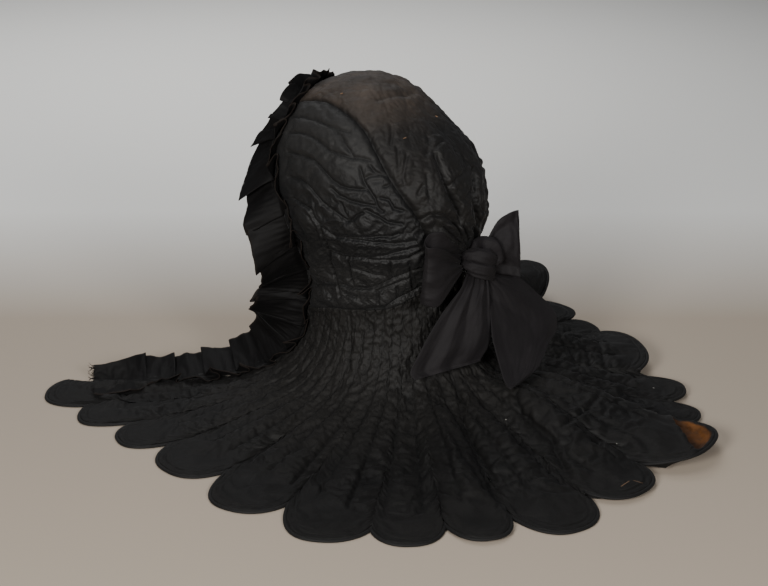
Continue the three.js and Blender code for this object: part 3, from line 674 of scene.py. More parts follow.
def settle(start, extra, sewn, frames=12):
    """Blender's cloth on one grid: extra is the share of spare cloth, sewn holds the stitched places."""
    mesh = bpy.data.meshes.new("loose_cloth")
    mesh.from_pydata((start.reshape(-1, 3) / 1000).tolist(), [], grid_faces(*sewn.shape).tolist())
    obj = linked("loose_cloth", mesh)
    group = obj.vertex_groups.new(name="sewn")
    group.add(np.flatnonzero(sewn.ravel()).tolist(), 1.0, "REPLACE")
    spare = obj.vertex_groups.new(name="spare")
    most = float(np.max(extra))
    steps = np.round(SPARE_STEPS * (1 - np.broadcast_to(extra, sewn.shape).ravel() / most)).astype(int)
    for step in np.unique(steps):
        spare.add(np.flatnonzero(steps == step).tolist(), float(step / SPARE_STEPS), "REPLACE")
    modifier = obj.modifiers.new("cloth", "CLOTH")
    cloth = modifier.settings
    for key, value in CLOTH.items():
        setattr(cloth, key, value)
    cloth.shrink_min, cloth.shrink_max = -most, 0.0
    cloth.effector_weights.gravity = 0
    modifier.collision_settings.use_collision = False
    modifier.point_cache.frame_start, modifier.point_cache.frame_end = 1, frames
    scene = bpy.context.scene
    for frame_number in range(1, frames + 1):
        scene.frame_set(frame_number)
    settled = obj.evaluated_get(bpy.context.evaluated_depsgraph_get()).to_mesh()
    points = np.empty(start.size, np.float32)
    settled.vertices.foreach_get("co", points)
    bpy.data.objects.remove(obj)
    bpy.data.meshes.remove(mesh)
    scene.frame_set(1)
    return points.reshape(start.shape).astype(float) * 1000


# ---- materials
def node_material(name):
    material = bpy.data.materials.new(name)
    material.use_nodes = True
    return material, material.node_tree, material.node_tree.nodes["Principled BSDF"]


def feed(tree, socket, value):
    if isinstance(value, bpy.types.NodeSocket):
        tree.links.new(value, socket)
    elif value is not None:
        socket.default_value = value


def add(tree, kind, settings=None, **inputs):
    """A node with its settings, fed by input name, or by number as at0, at1."""
    node = tree.nodes.new(kind)
    for key, value in (settings or {}).items():
        setattr(node, key, value)
    for key, value in inputs.items():
        feed(tree, node.inputs[int(key[2:]) if key.startswith("at") else key], value)
    return node


def mix_colour(tree, share, a, b, blend="MIX"):
    settings = {"data_type": "RGBA", "blend_type": blend}
    return add(tree, "ShaderNodeMix", settings, at0=share, at6=a, at7=b).outputs[2]


def maths(tree, operation, a, b=None, c=None):
    return add(tree, "ShaderNodeMath", {"operation": operation}, at0=a, at1=b, at2=c).outputs[0]


def attribute(tree, name):
    return add(tree, "ShaderNodeAttribute", {"attribute_name": name}).outputs["Fac"]


def ramp(tree, value, low, high):
    return add(tree, "ShaderNodeMapRange", {"clamp": True}, at0=value, at1=low, at2=high).outputs[0]


def noise_texture(tree, scale, detail, rough=0.55):
    where = tree.nodes.new("ShaderNodeTexCoord").outputs["Object"]
    node = add(tree, "ShaderNodeTexNoise", Vector=where, Scale=scale, Detail=detail, Roughness=rough)
    return node.outputs["Fac"]


def rgba(colour, share=1.0):
    return (*[share * c for c in colour], 1)


def dress(tree, shader, colour, bumps, roughness, gloss, sheen, sheen_roughness):
    """Colour, relief in layers from coarse to fine, and shine."""
    normal = None
    for height, strength, distance in bumps:
        normal = add(tree, "ShaderNodeBump", Height=height, Strength=strength, Distance=distance,
                     Normal=normal).outputs[0]
    for name, value in {"Base Color": colour, "Normal": normal, "Roughness": roughness, "Sheen Weight": sheen,
                        "Sheen Roughness": sheen_roughness, "Specular IOR Level": gloss}.items():
        feed(tree, shader.inputs[name], value)


def silk(name, base, faded, roughness, sheen, gloss, patchy=0.55):
    """Worn silk: fine weave, uneven fading, paler where it is worn and where light is painted on, and darker
    with painted shade in its folds and seams.
    """
    material, tree, shader = node_material(name)
    painted_shade = attribute(tree, "painted_shade")
    patches = ramp(tree, noise_texture(tree, 9.0, 4.0), 0.38, 0.68)
    speckle = ramp(tree, noise_texture(tree, 240.0, 3.0), 0.3, 0.75)
    streaks = ramp(tree, noise_texture(tree, 60.0, 3.0), 0.3, 0.7)
    shade = maths(tree, "MULTIPLY_ADD", speckle, 0.34, 0.8)
    grey = add(tree, "ShaderNodeCombineColor", Red=shade, Green=shade, Blue=shade).outputs[0]
    colour = mix_colour(tree, maths(tree, "MULTIPLY", patches, patchy), rgba(base), rgba(faded))
    # paler where worn, and painted light at the neck of the side panels and the cape
    colour = mix_colour(tree, attribute(tree, "wear_and_painted_light"), colour, rgba(faded, 1.9))
    colour = mix_colour(tree, 1.0, colour, grey, "MULTIPLY")
    # painted shade: darker in the folds, creases and seams of the relief
    colour = mix_colour(tree, maths(tree, "MULTIPLY", painted_shade, 0.6), colour, rgba(base, 0.35))
    lining = mix_colour(tree, streaks, rgba(LINING, 0.35), rgba(LINING, 1.4))
    # painted shade on the lining, in its hollows and inside the turned-up scallop
    lining = mix_colour(tree, maths(tree, "MULTIPLY", painted_shade, 0.8), lining, rgba(LINING, 0.1))
    inside = maths(tree, "MAXIMUM", attribute(tree, "lining"), attribute(tree, "turned"))
    bumps = [(noise_texture(tree, 60.0, 4.0, 0.6), 0.35, 0.0025),
             (noise_texture(tree, 170.0, 4.0, 0.6), 0.32, 0.0008),
             (noise_texture(tree, 900.0, 2.0, 0.6), 0.3, 0.0002)]
    rough = maths(tree, "MULTIPLY_ADD", patches, 0.12, roughness)
    dress(tree, shader, mix_colour(tree, inside, colour, lining), bumps, rough, gloss, sheen, 0.45)
    shader.inputs["Sheen Tint"].default_value = (0.9, 0.9, 0.93, 1)
    return material


def plain_cloth(name, colour, roughness, sheen, edge_colour=None, ribs=0.0, gloss=0.5):
    material, tree, shader = node_material(name)
    tint = ramp(tree, noise_texture(tree, 30.0, 4.0), 0.35, 0.7)
    shaded = mix_colour(tree, maths(tree, "MULTIPLY", tint, 0.6), rgba(colour), rgba(colour, 1.6))
    if edge_colour:
        shaded = mix_colour(tree, attribute(tree, "edge"), shaded, rgba(edge_colour))
    bumps = [(noise_texture(tree, 800.0, 2.0, 0.6), 0.3, 0.0003)]
    if ribs:
        wave = maths(tree, "SINE", maths(tree, "MULTIPLY", attribute(tree, "rib"), 2 * math.pi))
        bumps.append((wave, ribs, 0.0003))
    dress(tree, shader, shaded, bumps, roughness, gloss, sheen, 0.5)
    return material


LINING = (0.098, 0.036, 0.0075)
quilt_silk = silk("quilt_silk", (0.0050, 0.0051, 0.0054), (0.0086, 0.0084, 0.0082), 0.50, 0.04, 0.2)
crown_silk = silk("crown_silk", (0.0066, 0.0064, 0.0063), (0.0275, 0.0212, 0.0170), 0.52, 0.04, 0.2,
                  patchy=0.15)
cape_silk = silk("cape_silk", (0.0044, 0.0042, 0.0041), (0.0094, 0.0087, 0.0080), 0.55, 0.02, 0.15)
ruffle_ribbon = plain_cloth("ruffle_ribbon", (0.0022, 0.0020, 0.0021), 0.6, 0.01, (0.010, 0.0072, 0.0058),
                            gloss=0.11)
bow_ribbon = plain_cloth("bow_ribbon", (0.0082, 0.0072, 0.0079), 0.66, 0.02, ribs=0.08, gloss=0.13)
tan_thread = plain_cloth("tan_thread", (0.12, 0.062, 0.026), 0.7, 0.1)
pale_lint = plain_cloth("pale_lint", (0.25, 0.24, 0.22), 0.8, 0.1)
binding = plain_cloth("binding", (0.004, 0.0038, 0.0038), 0.6, 0.02, gloss=0.2)


def shifted(points, normals, height):
    return points + normals * height[..., None]


def height_over(base, normals, points):
    return np.sum((points - base) * normals, axis=-1)


def inner_layer(base, normals, height, depth=LINING_DEPTH):
    """The lining's side of the quilting, everywhere below the relief."""
    return shifted(base, normals, np.minimum(-depth, lowest_near(height) - LINING_GAP))


def hollow_of(height, scale):
    """How deep each place lies in the relief, from 0 to 1, used as the share of painted shade there."""
    return np.clip(-height / scale, 0, 1)


def side_relief(s, t, points):
    photo = to_photo(points)
    px, py = photo[..., 0], photo[..., 1]
    charted = crease_relief(photo, SIDE_CREASES, 1)
    neck = smoothstep(py, 215, 250)
    seam = smoothstep(s, 0.55, 0.85) * (1 - smoothstep(t, 0.75, 0.95))
    warp = noise(px / 22, py / 22, 3)
    broad = puffs(px / 21 + 0.5 * warp, py / 12 + 0.02 * px + 0.6 * warp, 4) * 2.4
    gathers = puffs(px / 10 + 0.6 * warp, py / 5.0 + 0.03 * px + 1.1 * warp, 5) * 3.4
    knots = puffs(px / 6.5, py / 5.5 + warp, 6) * 2.6
    soft = mix(broad, gathers, neck * (0.6 + 0.4 * smoothstep(-px, -345, -315)))
    height = charted * 1.15 + soft * (0.6 + 0.4 * neck) + knots * seam * (1 - neck)
    top_edge = bell(t * SIDE_DROP, 2.6)
    return (height + 0.5) * (1 - 0.9 * top_edge) - 2.6 * top_edge


def sewn_lines(photo, creases):
    """Where the charted lines are stitched down, and the distance to the nearest one."""
    nearest = np.full(photo.shape[:-1], 99.0)
    for _, _, _, line in creases:
        nearest = np.minimum(nearest, line_distance(photo, line)[0])
    return nearest < STITCH_PX, nearest


def puffed_side(base, normals, s, t):
    """The side panel's silk, slack between its stitched lines."""
    photo = to_photo(base)
    sewn, nearest = sewn_lines(photo, SIDE_CREASES)
    sewn |= near_ends(t) | near_ends(s)
    low = smoothstep(photo[..., 1], 185, 250)
    near_seam = bell(t * SIDE_DROP, 26) * smoothstep(s, 0.35, 0.7)
    seeds = 0.35 * side_relief(s, t, base) + 0.25 * noise(photo[..., 0] / 9, photo[..., 1] / 6, 7)
    seam_dip = -2.8 * bell(t * SIDE_DROP, 2.6) * (0.7 + 0.5 * noise(s * 26, 0 * s, 8))
    seam_dip = seam_dip * smoothstep(s, 0, 0.08)
    puff = -1.6 * bell(nearest, 1.5) + 0.9 * (1 - np.exp(-nearest / 4))
    start = shifted(base, normals, puff + seeds + seam_dip)
    extra = 0.015 + 0.062 * low + 0.035 * near_seam * (1 - low)
    return settle(start, extra, sewn)


def tucked_under(outer, inner, normals, height, share):
    """The edge that is sewn to the cape goes a little inside and below its top."""
    down = np.array([0, 0, 3.4])
    outer = shifted(outer, -normals, (height + 1.8) * share) - down * share[..., None]
    return outer, inner - down * share[..., None]


def side_panels():
    s, t = np.meshgrid(np.linspace(0, 1, 172), np.linspace(0, 1, 200), indexing="ij")
    base = side_point(s, t)
    normals = normals_of(base, 0)
    outer = puffed_side(base, normals, s, t)
    height = height_over(base, normals, outer)
    outer = shifted(outer, normals, np.clip(height, -3.2, 4.5) - height)
    inner = inner_layer(base, normals, height)
    outer, inner = tucked_under(outer, inner, normals, height, smoothstep(t, 0.965, 1))
    z = base[..., 2]
    # wear: paler towards the top of the panel, and painted light at the neck; painted shade in the hollows
    # and along the crown seam
    marks = {"wear_and_painted_light": smoothstep(z, 225, 315) + 0.5 * (1 - smoothstep(z, 150, 190)),
             "painted_shade": np.maximum(hollow_of(height, 2.0), 1.5 * bell(t * SIDE_DROP, 2.4))}
    for name, mirror in (("side_panel_left_quilt", 1), ("side_panel_right_quilt", -1)):
        flip = np.array([mirror, 1, 1])
        obj = shell(name, outer * flip, inner * flip, mirror < 0, marks, INNER_STEP)
        place(obj, ["side_panel_left" if mirror > 0 else "side_panel_right"], "quilt", quilt_silk)


def facing(points, normals):
    return smoothstep(np.sum(normals * unit(CAMERA["place"] - points), axis=-1), 0.05, 0.25)


def crown():
    s, a = np.meshgrid(np.linspace(0, 1, 210), np.linspace(0, 1, 190), indexing="ij")
    angle = mix(BROW_ANGLE, NAPE_ANGLE, s)
    edge = 1 + 0.4 / along(CROWN_WIDTH, "angle", "half", angle)
    q = mix(-edge, edge, a)
    base = crown_point(s, q)
    normals = normals_of(base, 2)
    mirror = np.array([-1, 1, 1])
    mirrored = base * mirror
    seen = facing(base, normals)
    mirror_seen = facing(mirrored, normals * mirror)
    charted = (seen * crease_relief(to_photo(base), CROWN_CREASES, 2)
               + (1 - seen) * mirror_seen * crease_relief(to_photo(mirrored), CROWN_CREASES, 2))
    arc = s * CROWN_LENGTH
    wide = q * along(CROWN_WIDTH, "angle", "half", angle)
    warp = noise(wide / 30, arc / 30, 11)
    diamonds = (np.abs(np.sin((arc + wide) / 34 * math.pi + 0.5 * warp))
                * np.abs(np.sin((arc - wide) / 34 * math.pi - 0.5 * warp))) ** 0.45
    soft = 2.0 * puffs(wide / 12 + 0.5 * warp, arc / 26 + 0.5 * warp, 12)
    fine = 2.0 * puffs(wide / 6, arc / 10 + warp, 13)
    nape = smoothstep(s, 0.55, 0.9)
    calm = 0.3 + 0.7 * smoothstep(np.maximum(seen, mirror_seen), 0.1, 0.9)
    height = (2.2 * charted + 0.8 * (diamonds - 0.6) + mix(0.8, 0.9, nape) * soft + 0.15 * fine) * calm
    seam = bell(np.maximum(1 - np.abs(q), 0) * 70, 2.4)
    height = (height + 0.6) * (1 - 0.9 * seam) - 3.4 * seam * smoothstep(s, 0, 0.06)
    sewn, _ = sewn_lines(to_photo(base), CROWN_CREASES)
    twin, _ = sewn_lines(to_photo(mirrored), CROWN_CREASES)
    turned = seen < 0.3
    sewn = (sewn & ~turned) | (twin & turned & (mirror_seen > 0.3))
    knots = (diamonds < 0.16) & (nape < 0.7)
    sewn |= knots | (np.abs(q) > edge - 0.004) | near_ends(s)
    start = shifted(base, normals, 0.95 * height + 0.3)
    outer = settle(start, (0.018 + 0.018 * nape) * calm, sewn)
    height = height_over(base, normals, outer)
    inner = inner_layer(base, normals, height)
    outer, inner = tucked_under(outer, inner, normals, height, smoothstep(s, 0.98, 1))
    worn = smoothstep(base[..., 2], 286, 326) * (0.6 + 0.4 * noise(wide / 25, arc / 25, 15))
    # painted shade darkens the hollows and the seams; the wear is the faded brown top
    marks = {"wear_and_painted_light": np.clip(worn, 0, 1), "painted_shade": np.maximum(hollow_of(height, 2.2), 1.5 * seam)}
    obj = shell("crown_quilt", outer, inner, True, marks, INNER_STEP)
    place(obj, ["crown_panel"], "crown", crown_silk)


def cape_grid(columns, rows):
    """Shares along the cape, closer together where the photograph looks, and down it."""
    even = np.linspace(0, 1, 4000)
    density = 1 + 0.45 * (1 - smoothstep(even, 0.68, 0.8))
    run = np.concatenate([[0], np.cumsum((density[1:] + density[:-1]) / 2)])
    u = np.interp(np.linspace(0, run[-1], columns), run, even)
    starts = (np.array(SCALLOPS["from"][1:], float) - SCALLOPS["from"][0]) / (CAPE_END - SCALLOPS["from"][0])
    for start in starts:
        u[np.argmin(np.abs(u - start))] = start
    length = run_along(cape_point(np.full(400, 0.35), np.linspace(0, 1, 400)))
    weight = 1 + 0.8 * smoothstep(length, length[-1] - 30, length[-1] - 8)
    run = np.concatenate([[0], np.cumsum(np.diff(length) * (weight[1:] + weight[:-1]) / 2)])
    v = np.interp(np.linspace(0, run[-1], rows), run, np.linspace(0, 1, 400))
    return u, v


def petal_marks(u, points):
    """Share of plain petal at each place, and the distance in from the hem."""
    angle = mix(SCALLOPS["from"][0], CAPE_END, u)
    base, reach, arch = hem_reach(angle)
    radius = radius_of(points)
    petal = smoothstep(radius - (base - 10 - 6 * arch), -4, 5)
    hem = cape_point(np.linspace(0, 1, 3000), np.ones(3000))[:, :2]
    near = radius > reach - 22
    gap = np.full(radius.shape, 99.0)
    spots = points[near][:, :2]
    best = np.full(len(spots), 99.0)
    for start in range(0, len(hem), 250):
        part = hem[start:start + 250]
        away = np.sqrt(((spots[:, None, :] - part[None]) ** 2).sum(-1)).min(1)
        best = np.minimum(best, away)
    gap[near] = best
    return petal, gap


def cape_relief(u, v, base, normals):
    photo = to_photo(base)
    seen = facing(base, normals)
    charted = crease_relief(photo, CAPE_CREASES, 21) * seen
    petal, hem_gap = petal_marks(u, base)
    radius = radius_of(base)
    length = v * CAPE_LENGTH
    warp = noise(u * 40, length / 40, 22)
    phase = u * CAPE_COLUMNS + 0.10 * warp
    lane = phase - np.floor(phase)
    open_out = smoothstep(radius, 80, 190)
    roll = (1 - np.abs(2 * lane - 1) ** 2.6) - 0.6
    number = np.floor(phase)
    offset = np.sin(number * 91.7) * 4.7
    rung = (length / mix(6.0, 9.0, open_out) + offset + 0.9 * noise(u * 90, length / 13, 23)
            + 0.5 * (lane - 0.5))
    rung_lane = rung - np.floor(rung)
    strength = 0.45 + 0.55 * np.abs(np.sin(np.floor(rung) * 37.1 + number * 17.3))
    cross = (np.minimum(rung_lane / 0.72, (1 - rung_lane) / 0.28) ** 0.8 - 0.55) * strength
    cross = cross * (0.35 + 0.65 * (1 - np.abs(2 * lane - 1) ** 3))
    small = puffs(phase * 1.3, length / 3.6 + offset, 25)
    height = (mix(1.0, 1.5, open_out) * roll + mix(0.8, 1.2, open_out) * cross
              + 0.7 * small) * (1 - petal)
    plain = 0.9 * noise(u * 70, length / 22, 26) + 0.4 * noise(u * 160, length / 9, 27)
    height += petal * (plain + 0.4)
    height += charted - 0.85 * bell(hem_gap - HEM_STITCH, 1.1) + 0.55 * bell(hem_gap - 3.2, 1.8)
    return height, petal, hem_gap


def turned_tip(base, hem_gap):
    """Where one scallop shows its lining, the painted shade on that lining, and its height off the plain
    petal.
    """
    photo = to_photo(base)
    gap = line_distance(photo, TURNED_EDGE)[0]
    edge = np.array(TURNED_EDGE, float)
    edge_x = np.interp(photo[..., 1], edge[:, 1], edge[:, 0])
    beyond = np.where(photo[..., 0] > edge_x, gap, -gap)
    angle = np.degrees(np.arctan2(base[..., 1], base[..., 0]))
    inside = (angle > TURNED_SCALLOP[0]) & (angle < TURNED_SCALLOP[1]) & (radius_of(base) > 300)
    turned = inside * smoothstep(beyond, -0.4, 1.6)
    cup = -8.5 * turned * smoothstep(hem_gap, 0.5, 13)
    lip = 2.2 * inside * bell(beyond + 2.0, 2.6)
    lining = turned * smoothstep(beyond, 0.6, 1.6) * smoothstep(hem_gap, 3.6, 4.6)
    return lining, lining * (1 - smoothstep(beyond, 3, 13)), cup + lip


def puffed_cape(us, base, normals, seeds, petal, hem_gap):
    """The cape's silk, slack between its stitched rays."""
    charted, _ = sewn_lines(to_photo(base), CAPE_CREASES)
    rays = np.zeros(base.shape[:2], bool)
    for ray in range(CAPE_COLUMNS + 1):
        rays[np.argmin(np.abs(us - ray / CAPE_COLUMNS))] = True
    rays &= petal < 0.4
    sewn = rays | (charted & (facing(base, normals) > 0.4)) | (np.abs(hem_gap - HEM_STITCH) < 0.9)
    sewn[[0, -1]] = True
    sewn[:, [0, -1]] = True
    ray_sink = np.where(rays, mix(0.9, 1.8, smoothstep(radius_of(base), 80, 190)), 0)
    return settle(shifted(base, normals, seeds + 0.3 - ray_sink), 0.012 + 0.07 * (1 - petal), sewn)


def cape():
    us, vs = cape_grid(590, 143)
    u, v = np.meshgrid(us, vs, indexing="ij")
    base = cape_point(u, v)
    normals = normals_of(base, 2)
    height, petal, hem_gap = cape_relief(u, v, base, normals)
    wall = mix(3.6, 1.8, smoothstep(v, 0.5, 0.9))
    eased = height * mix(1, 0.25, smoothstep(v, 0.985, 1))
    outer = puffed_cape(us, base, normals, eased, petal, hem_gap)
    height = height_over(base, normals, outer)
    inner = inner_layer(base, normals, height, wall)
    tip_lining, tip_shade, tip_height = turned_tip(base, hem_gap)
    outer[..., 2] = np.maximum(outer[..., 2] + tip_height, 1.9)
    inner[..., 2] = np.clip(inner[..., 2], 0.15, lowest_near(outer[..., 2]) - 0.7)
    lane = np.abs((u * CAPE_COLUMNS + 0.5) % 1 - 0.5)
    # painted shade along the stitched rays
    ray_shade = bell(lane, 0.07) * (1 - petal)
    # wear here is painted light at the neck; painted shade fills the hollows, the rays and the inside of the
    # turned-up scallop
    marks = {"wear_and_painted_light": 0.4 - 0.4 * smoothstep(radius_of(base), 90, 240),
             "painted_shade": np.maximum(hollow_of(height, 2.2), 0.9 * ray_shade) * (1 - tip_lining) + tip_shade,
             "turned": tip_lining}
    obj = shell("cape_quilt", outer, inner, False, marks, INNER_STEP)
    place(obj, ["cape"], "quilt", cape_silk)


def hem_binding():
    """A soft roll of ribbon over the scalloped edge."""
    u = np.linspace(0, 1, 1700)
    line = cape_point(u, np.ones_like(u))
    travel = unit(np.gradient(line[:, :2], axis=0))
    out = np.stack([travel[:, 1], -travel[:, 0], np.zeros(len(u))], -1)
    for _ in range(10):
        out[1:-1] = (out[:-2] + out[2:] + out[1:-1]) / 3
    out = unit(out)
    turns = np.radians(np.linspace(-156, 156, 9))
    centre = line + out * 1.3
    centre[:, 2] = line[:, 2] - 1.2
    layers = []
    for wide, high in ((2.1, 1.5), (1.7, 1.15)):
        rows = [centre + out * (wide * math.cos(turn)) + np.array([0, 0, high * math.sin(turn)])
                for turn in turns]
        layers.append(np.stack(rows, 1))
    layers[0][..., 2] = np.maximum(layers[0][..., 2], 0.1)
    layers[1][..., 2] = np.maximum(layers[1][..., 2], 0.5)
    obj = shell("hem_binding", layers[0], layers[1], False, {"edge": np.zeros(layers[0].shape[:2])})
    place(obj, ["hem_piping"], "piping", binding)


def trimmed_edge():
    """Places along the edge under the ruffle, their outward sides and the leaf there."""
    step = 0.004

    def station(surface, a, b, width, flare, clear):
        def moved(da, db):
            return surface(np.clip(a + da, 0, 1), np.clip(b + db, 0, 1))
        out = np.cross(moved(step, 0) - moved(-step, 0), moved(0, step) - moved(0, -step))
        out = -unit(out)
        return surface(a, b) + out * clear, out, width, flare

    def crown_across(s, a):
        return crown_point(s, mix(-1.0, 1.0, a))

    def leaf(table, key, at):
        return along(table, key, "width", at), along(table, key, "flare", at)

    fall = np.linspace(RUFFLE_END, 0.04, 40)
    down = np.linspace(0.97, 0.02, 40)
    across = np.linspace(0.98, 0.02, 24)
    cape_leaf = leaf(LEAF_ON_CAPE, "fall", fall)
    left_cape = station(cape_point, np.zeros(40), fall, *cape_leaf, 1.0)
    side = station(side_point, np.zeros(40), down, *leaf(LEAF_ON_SIDE, "down", down), 0.4)
    brow = station(crown_across, np.zeros(24), across, *leaf(LEAF_ON_BROW, "across", across), 0.4)
    right_cape = station(cape_point, np.ones(40), fall, *cape_leaf, 1.0)
    mirror = np.array([-1, 1, 1])
    parts = [left_cape, side, brow,
             tuple(x[::-1] * (mirror if x.ndim > 1 else 1) for x in side),
             tuple(x[::-1] for x in right_cape)]
    return [np.concatenate([part[i] for part in parts]) for i in range(4)]


def ruffle_frames(count):
    at, out, width, flare = trimmed_edge()
    run = run_along(at)
    where = np.linspace(0, run[-1], count)
    weights = bell(run[None] - where[:, None], FRAME_SMOOTHING)
    weights /= weights.sum(1, keepdims=True)

    def place_at(w):
        return np.stack([np.interp(w, run, at[:, axis]) for axis in range(3)], -1)

    travel = unit(place_at(np.minimum(where + FRAME_SMOOTHING, run[-1]))
                  - place_at(np.maximum(where - FRAME_SMOOTHING, 0)))
    out = weights @ out
    out = unit(out - travel * np.sum(out * travel, axis=1, keepdims=True))
    return {"at": place_at(where), "out": out, "off": np.cross(out, travel), "travel": travel,
            "width": weights @ width, "flare": np.radians(weights @ flare), "run": where}


def fold_path(total):
    """Where the folded ribbon lies along the edge, and how far it stands out at both its edges."""
    rows = [(0, 0.15, 5, 3), (20, 0.2, 5, 3)]
    for at, way, tuck, front, back in RUFFLE_FOLDS:
        before = rows[-1][0]
        steps = [(-2.0, 0.95), (0.0, 1.0), (-1.0, 0.75), (-0.85 * tuck, 0.3), (-tuck, 0.14),
                 (1.5 - tuck, 0.03)]
        if way < 0:
            steps = [(-x, y) for x, y in reversed(steps)]
            rise = [(0.6, 0.42), (0.9, 0.10)]
        else:
            rise = [(0.45, 0.25), (0.8, 0.7)]
        rows += [(mix(before, at, share), y, front, back) for share, y in rise]
        rows += [(at + x, y, front, back) for x, y in steps]
    rows = np.array(rows)
    left = rows[rows[:, 0] < total / 2 - 4]
    right = left[::-1].copy()
    right[:, 0] = total - right[:, 0]
    return np.concatenate([left, right])


def face_ruffle():
    """Ribbon sewn down near its back edge and pressed into uneven box pleats."""
    frames = ruffle_frames(900)
    total = frames["run"][-1]
    path = fold_path(total)
    length = run_along(path[:, :2] * [1, 6])
    count = 1150
    where = np.linspace(0, length[-1], count)
    ahead, stand, front, back = (np.interp(where, length, path[:, i]) for i in range(4))
    kernel = np.array([1, 2, 3, 2, 1]) / 9
    ahead, stand = (np.convolve(np.pad(x, 2, mode="edge"), kernel, "valid") for x in (ahead, stand))
    pressed = 1 - BROW_PRESS["share"] * bell(ahead - BROW_PRESS["middle"] * total, BROW_PRESS["width"])
    front, back = front * pressed, back * pressed
    side = np.interp(ahead, [total / 2 - 30, total / 2 + 30], [1, -1])

    def there(key, moved):
        values = frames[key]
        if values.ndim == 1:
            return np.interp(moved, frames["run"], values)
        return np.stack([np.interp(moved, frames["run"], values[:, axis]) for axis in range(3)], -1)

    shares = np.concatenate([np.linspace(-1, 0, 9), np.linspace(0, 1, 19)[1:]])
    columns = []
    for share in shares:
        if share < 0:
            reach = share * along(RUFFLE_BACK, "run", "width", np.minimum(ahead, total - ahead))
            along_by = RUFFLE_SLANT["back"] * np.maximum(reach, -15.0 * -share)
            across, raise_by = reach + 0 * stand, 2.0 * share**2 + mix(1.6, back, -share) * stand
        else:
            leaf = there("width", ahead) * share
            curl = there("flare", ahead) * (0.75 + 0.25 * share)
            across = leaf * np.cos(curl)
            raise_by = leaf * np.sin(curl) + mix(1.6, front, share**0.8) * stand
            along_by = RUFFLE_SLANT["front"] * leaf
        moved = ahead + side * along_by
        wobble = (noise(where / 13, np.full(count, share * 2.0), 31) * 1.4
                  + noise(where / 36, np.full(count, share * 1.2), 35) * 2.4) * abs(share)
        columns.append(there("at", moved) + there("off", moved) * across[:, None]
                       + there("out", moved) * (raise_by + wobble)[:, None])
    top = np.stack(columns, 1)
    tacked = np.repeat((np.abs(shares) < 0.06)[None], count, 0)
    top = settle(top, np.float64(0.03), tacked, frames=8)
    top[..., 2] = np.maximum(top[..., 2], 1.2)
    under = top - normals_of(top) * 0.55
    frayed_end(top)
    edge = np.zeros(top.shape[:2])
    edge[:, 0] = edge[:, -1] = 1
    obj = shell("ruffle_ribbon", top, under, False, {"edge": edge})
    place(obj, ["face_ruffle"], "ribbon", ruffle_ribbon)


def frayed_end(top):
    """Loose threads at the ribbon's cut end."""
    points, faces = [], []
    for k in range(26):
        column = (k * 7) % top.shape[1]
        start = top[0, column]
        away = unit(top[0, column] - top[3, column])
        turn = 0.9 * math.sin(k * 12.9)
        across = unit(top[0, min(column + 1, top.shape[1] - 1)] - top[0, max(column - 1, 0)])
        length = 2.5 + 4.5 * abs(math.sin(k * 4.7))
        rows = [start + away * length * t + across * length * turn * t * t
                + np.array([0, 0, 1.6 * math.sin(k * 3.1)]) * t * t for t in np.linspace(-0.1, 1, 5)]
        faces += tube_faces(len(points), 5, 3)
        for row, wide in zip(rows, (0.35, 0.35, 0.3, 0.25, 0.1)):
            points += [row - across * wide, row + across * wide, row + np.array([0, 0, 1.4 * wide])]
    points = np.array(points)
    points[:, 2] = np.maximum(points[:, 2], 0.4)
    obj = mesh_object("frayed_end", points, faces, {"edge": np.full(len(points), 0.4)})
    place(obj, [], "ribbon", ruffle_ribbon)


def face_binding():
    """Flat tape under the ruffle, sewn over the raw edge of the quilting."""
    frames = ruffle_frames(500)
    columns = []
    for across in np.linspace(-4.5, 6.0, 8):
        curl = frames["flare"] * smoothstep(np.float64(across), 0, 9)
        columns.append(frames["at"] + frames["off"] * (across * np.cos(curl))[:, None]
                       + frames["out"] * (0.4 + np.maximum(across, 0) * np.sin(curl))[:, None])
    grid = np.stack(columns, 1)
    obj = shell("face_binding", grid, grid - normals_of(grid) * 0.6, False,
                {"edge": np.zeros(grid.shape[:2])})
    place(obj, ["face_ruffle"], "ribbon", binding)


def catmull(rows, count):
    """Points on a smooth curve through the rows."""
    rows = np.asarray(rows, float)
    padded = np.concatenate([[2 * rows[0] - rows[1]], rows, [2 * rows[-1] - rows[-2]]])
    place_at = np.linspace(0, len(rows) - 1, count)
    i = np.minimum(np.floor(place_at).astype(int), len(rows) - 2)
    f = (place_at - i)[:, None]
    p0, p1, p2, p3 = padded[i], padded[i + 1], padded[i + 2], padded[i + 3]
    return 0.5 * (2 * p1 + (p2 - p0) * f + (2 * p0 - 5 * p1 + 4 * p2 - p3) * f**2
                  + (3 * p1 - p0 - 3 * p2 + p3) * f**3)


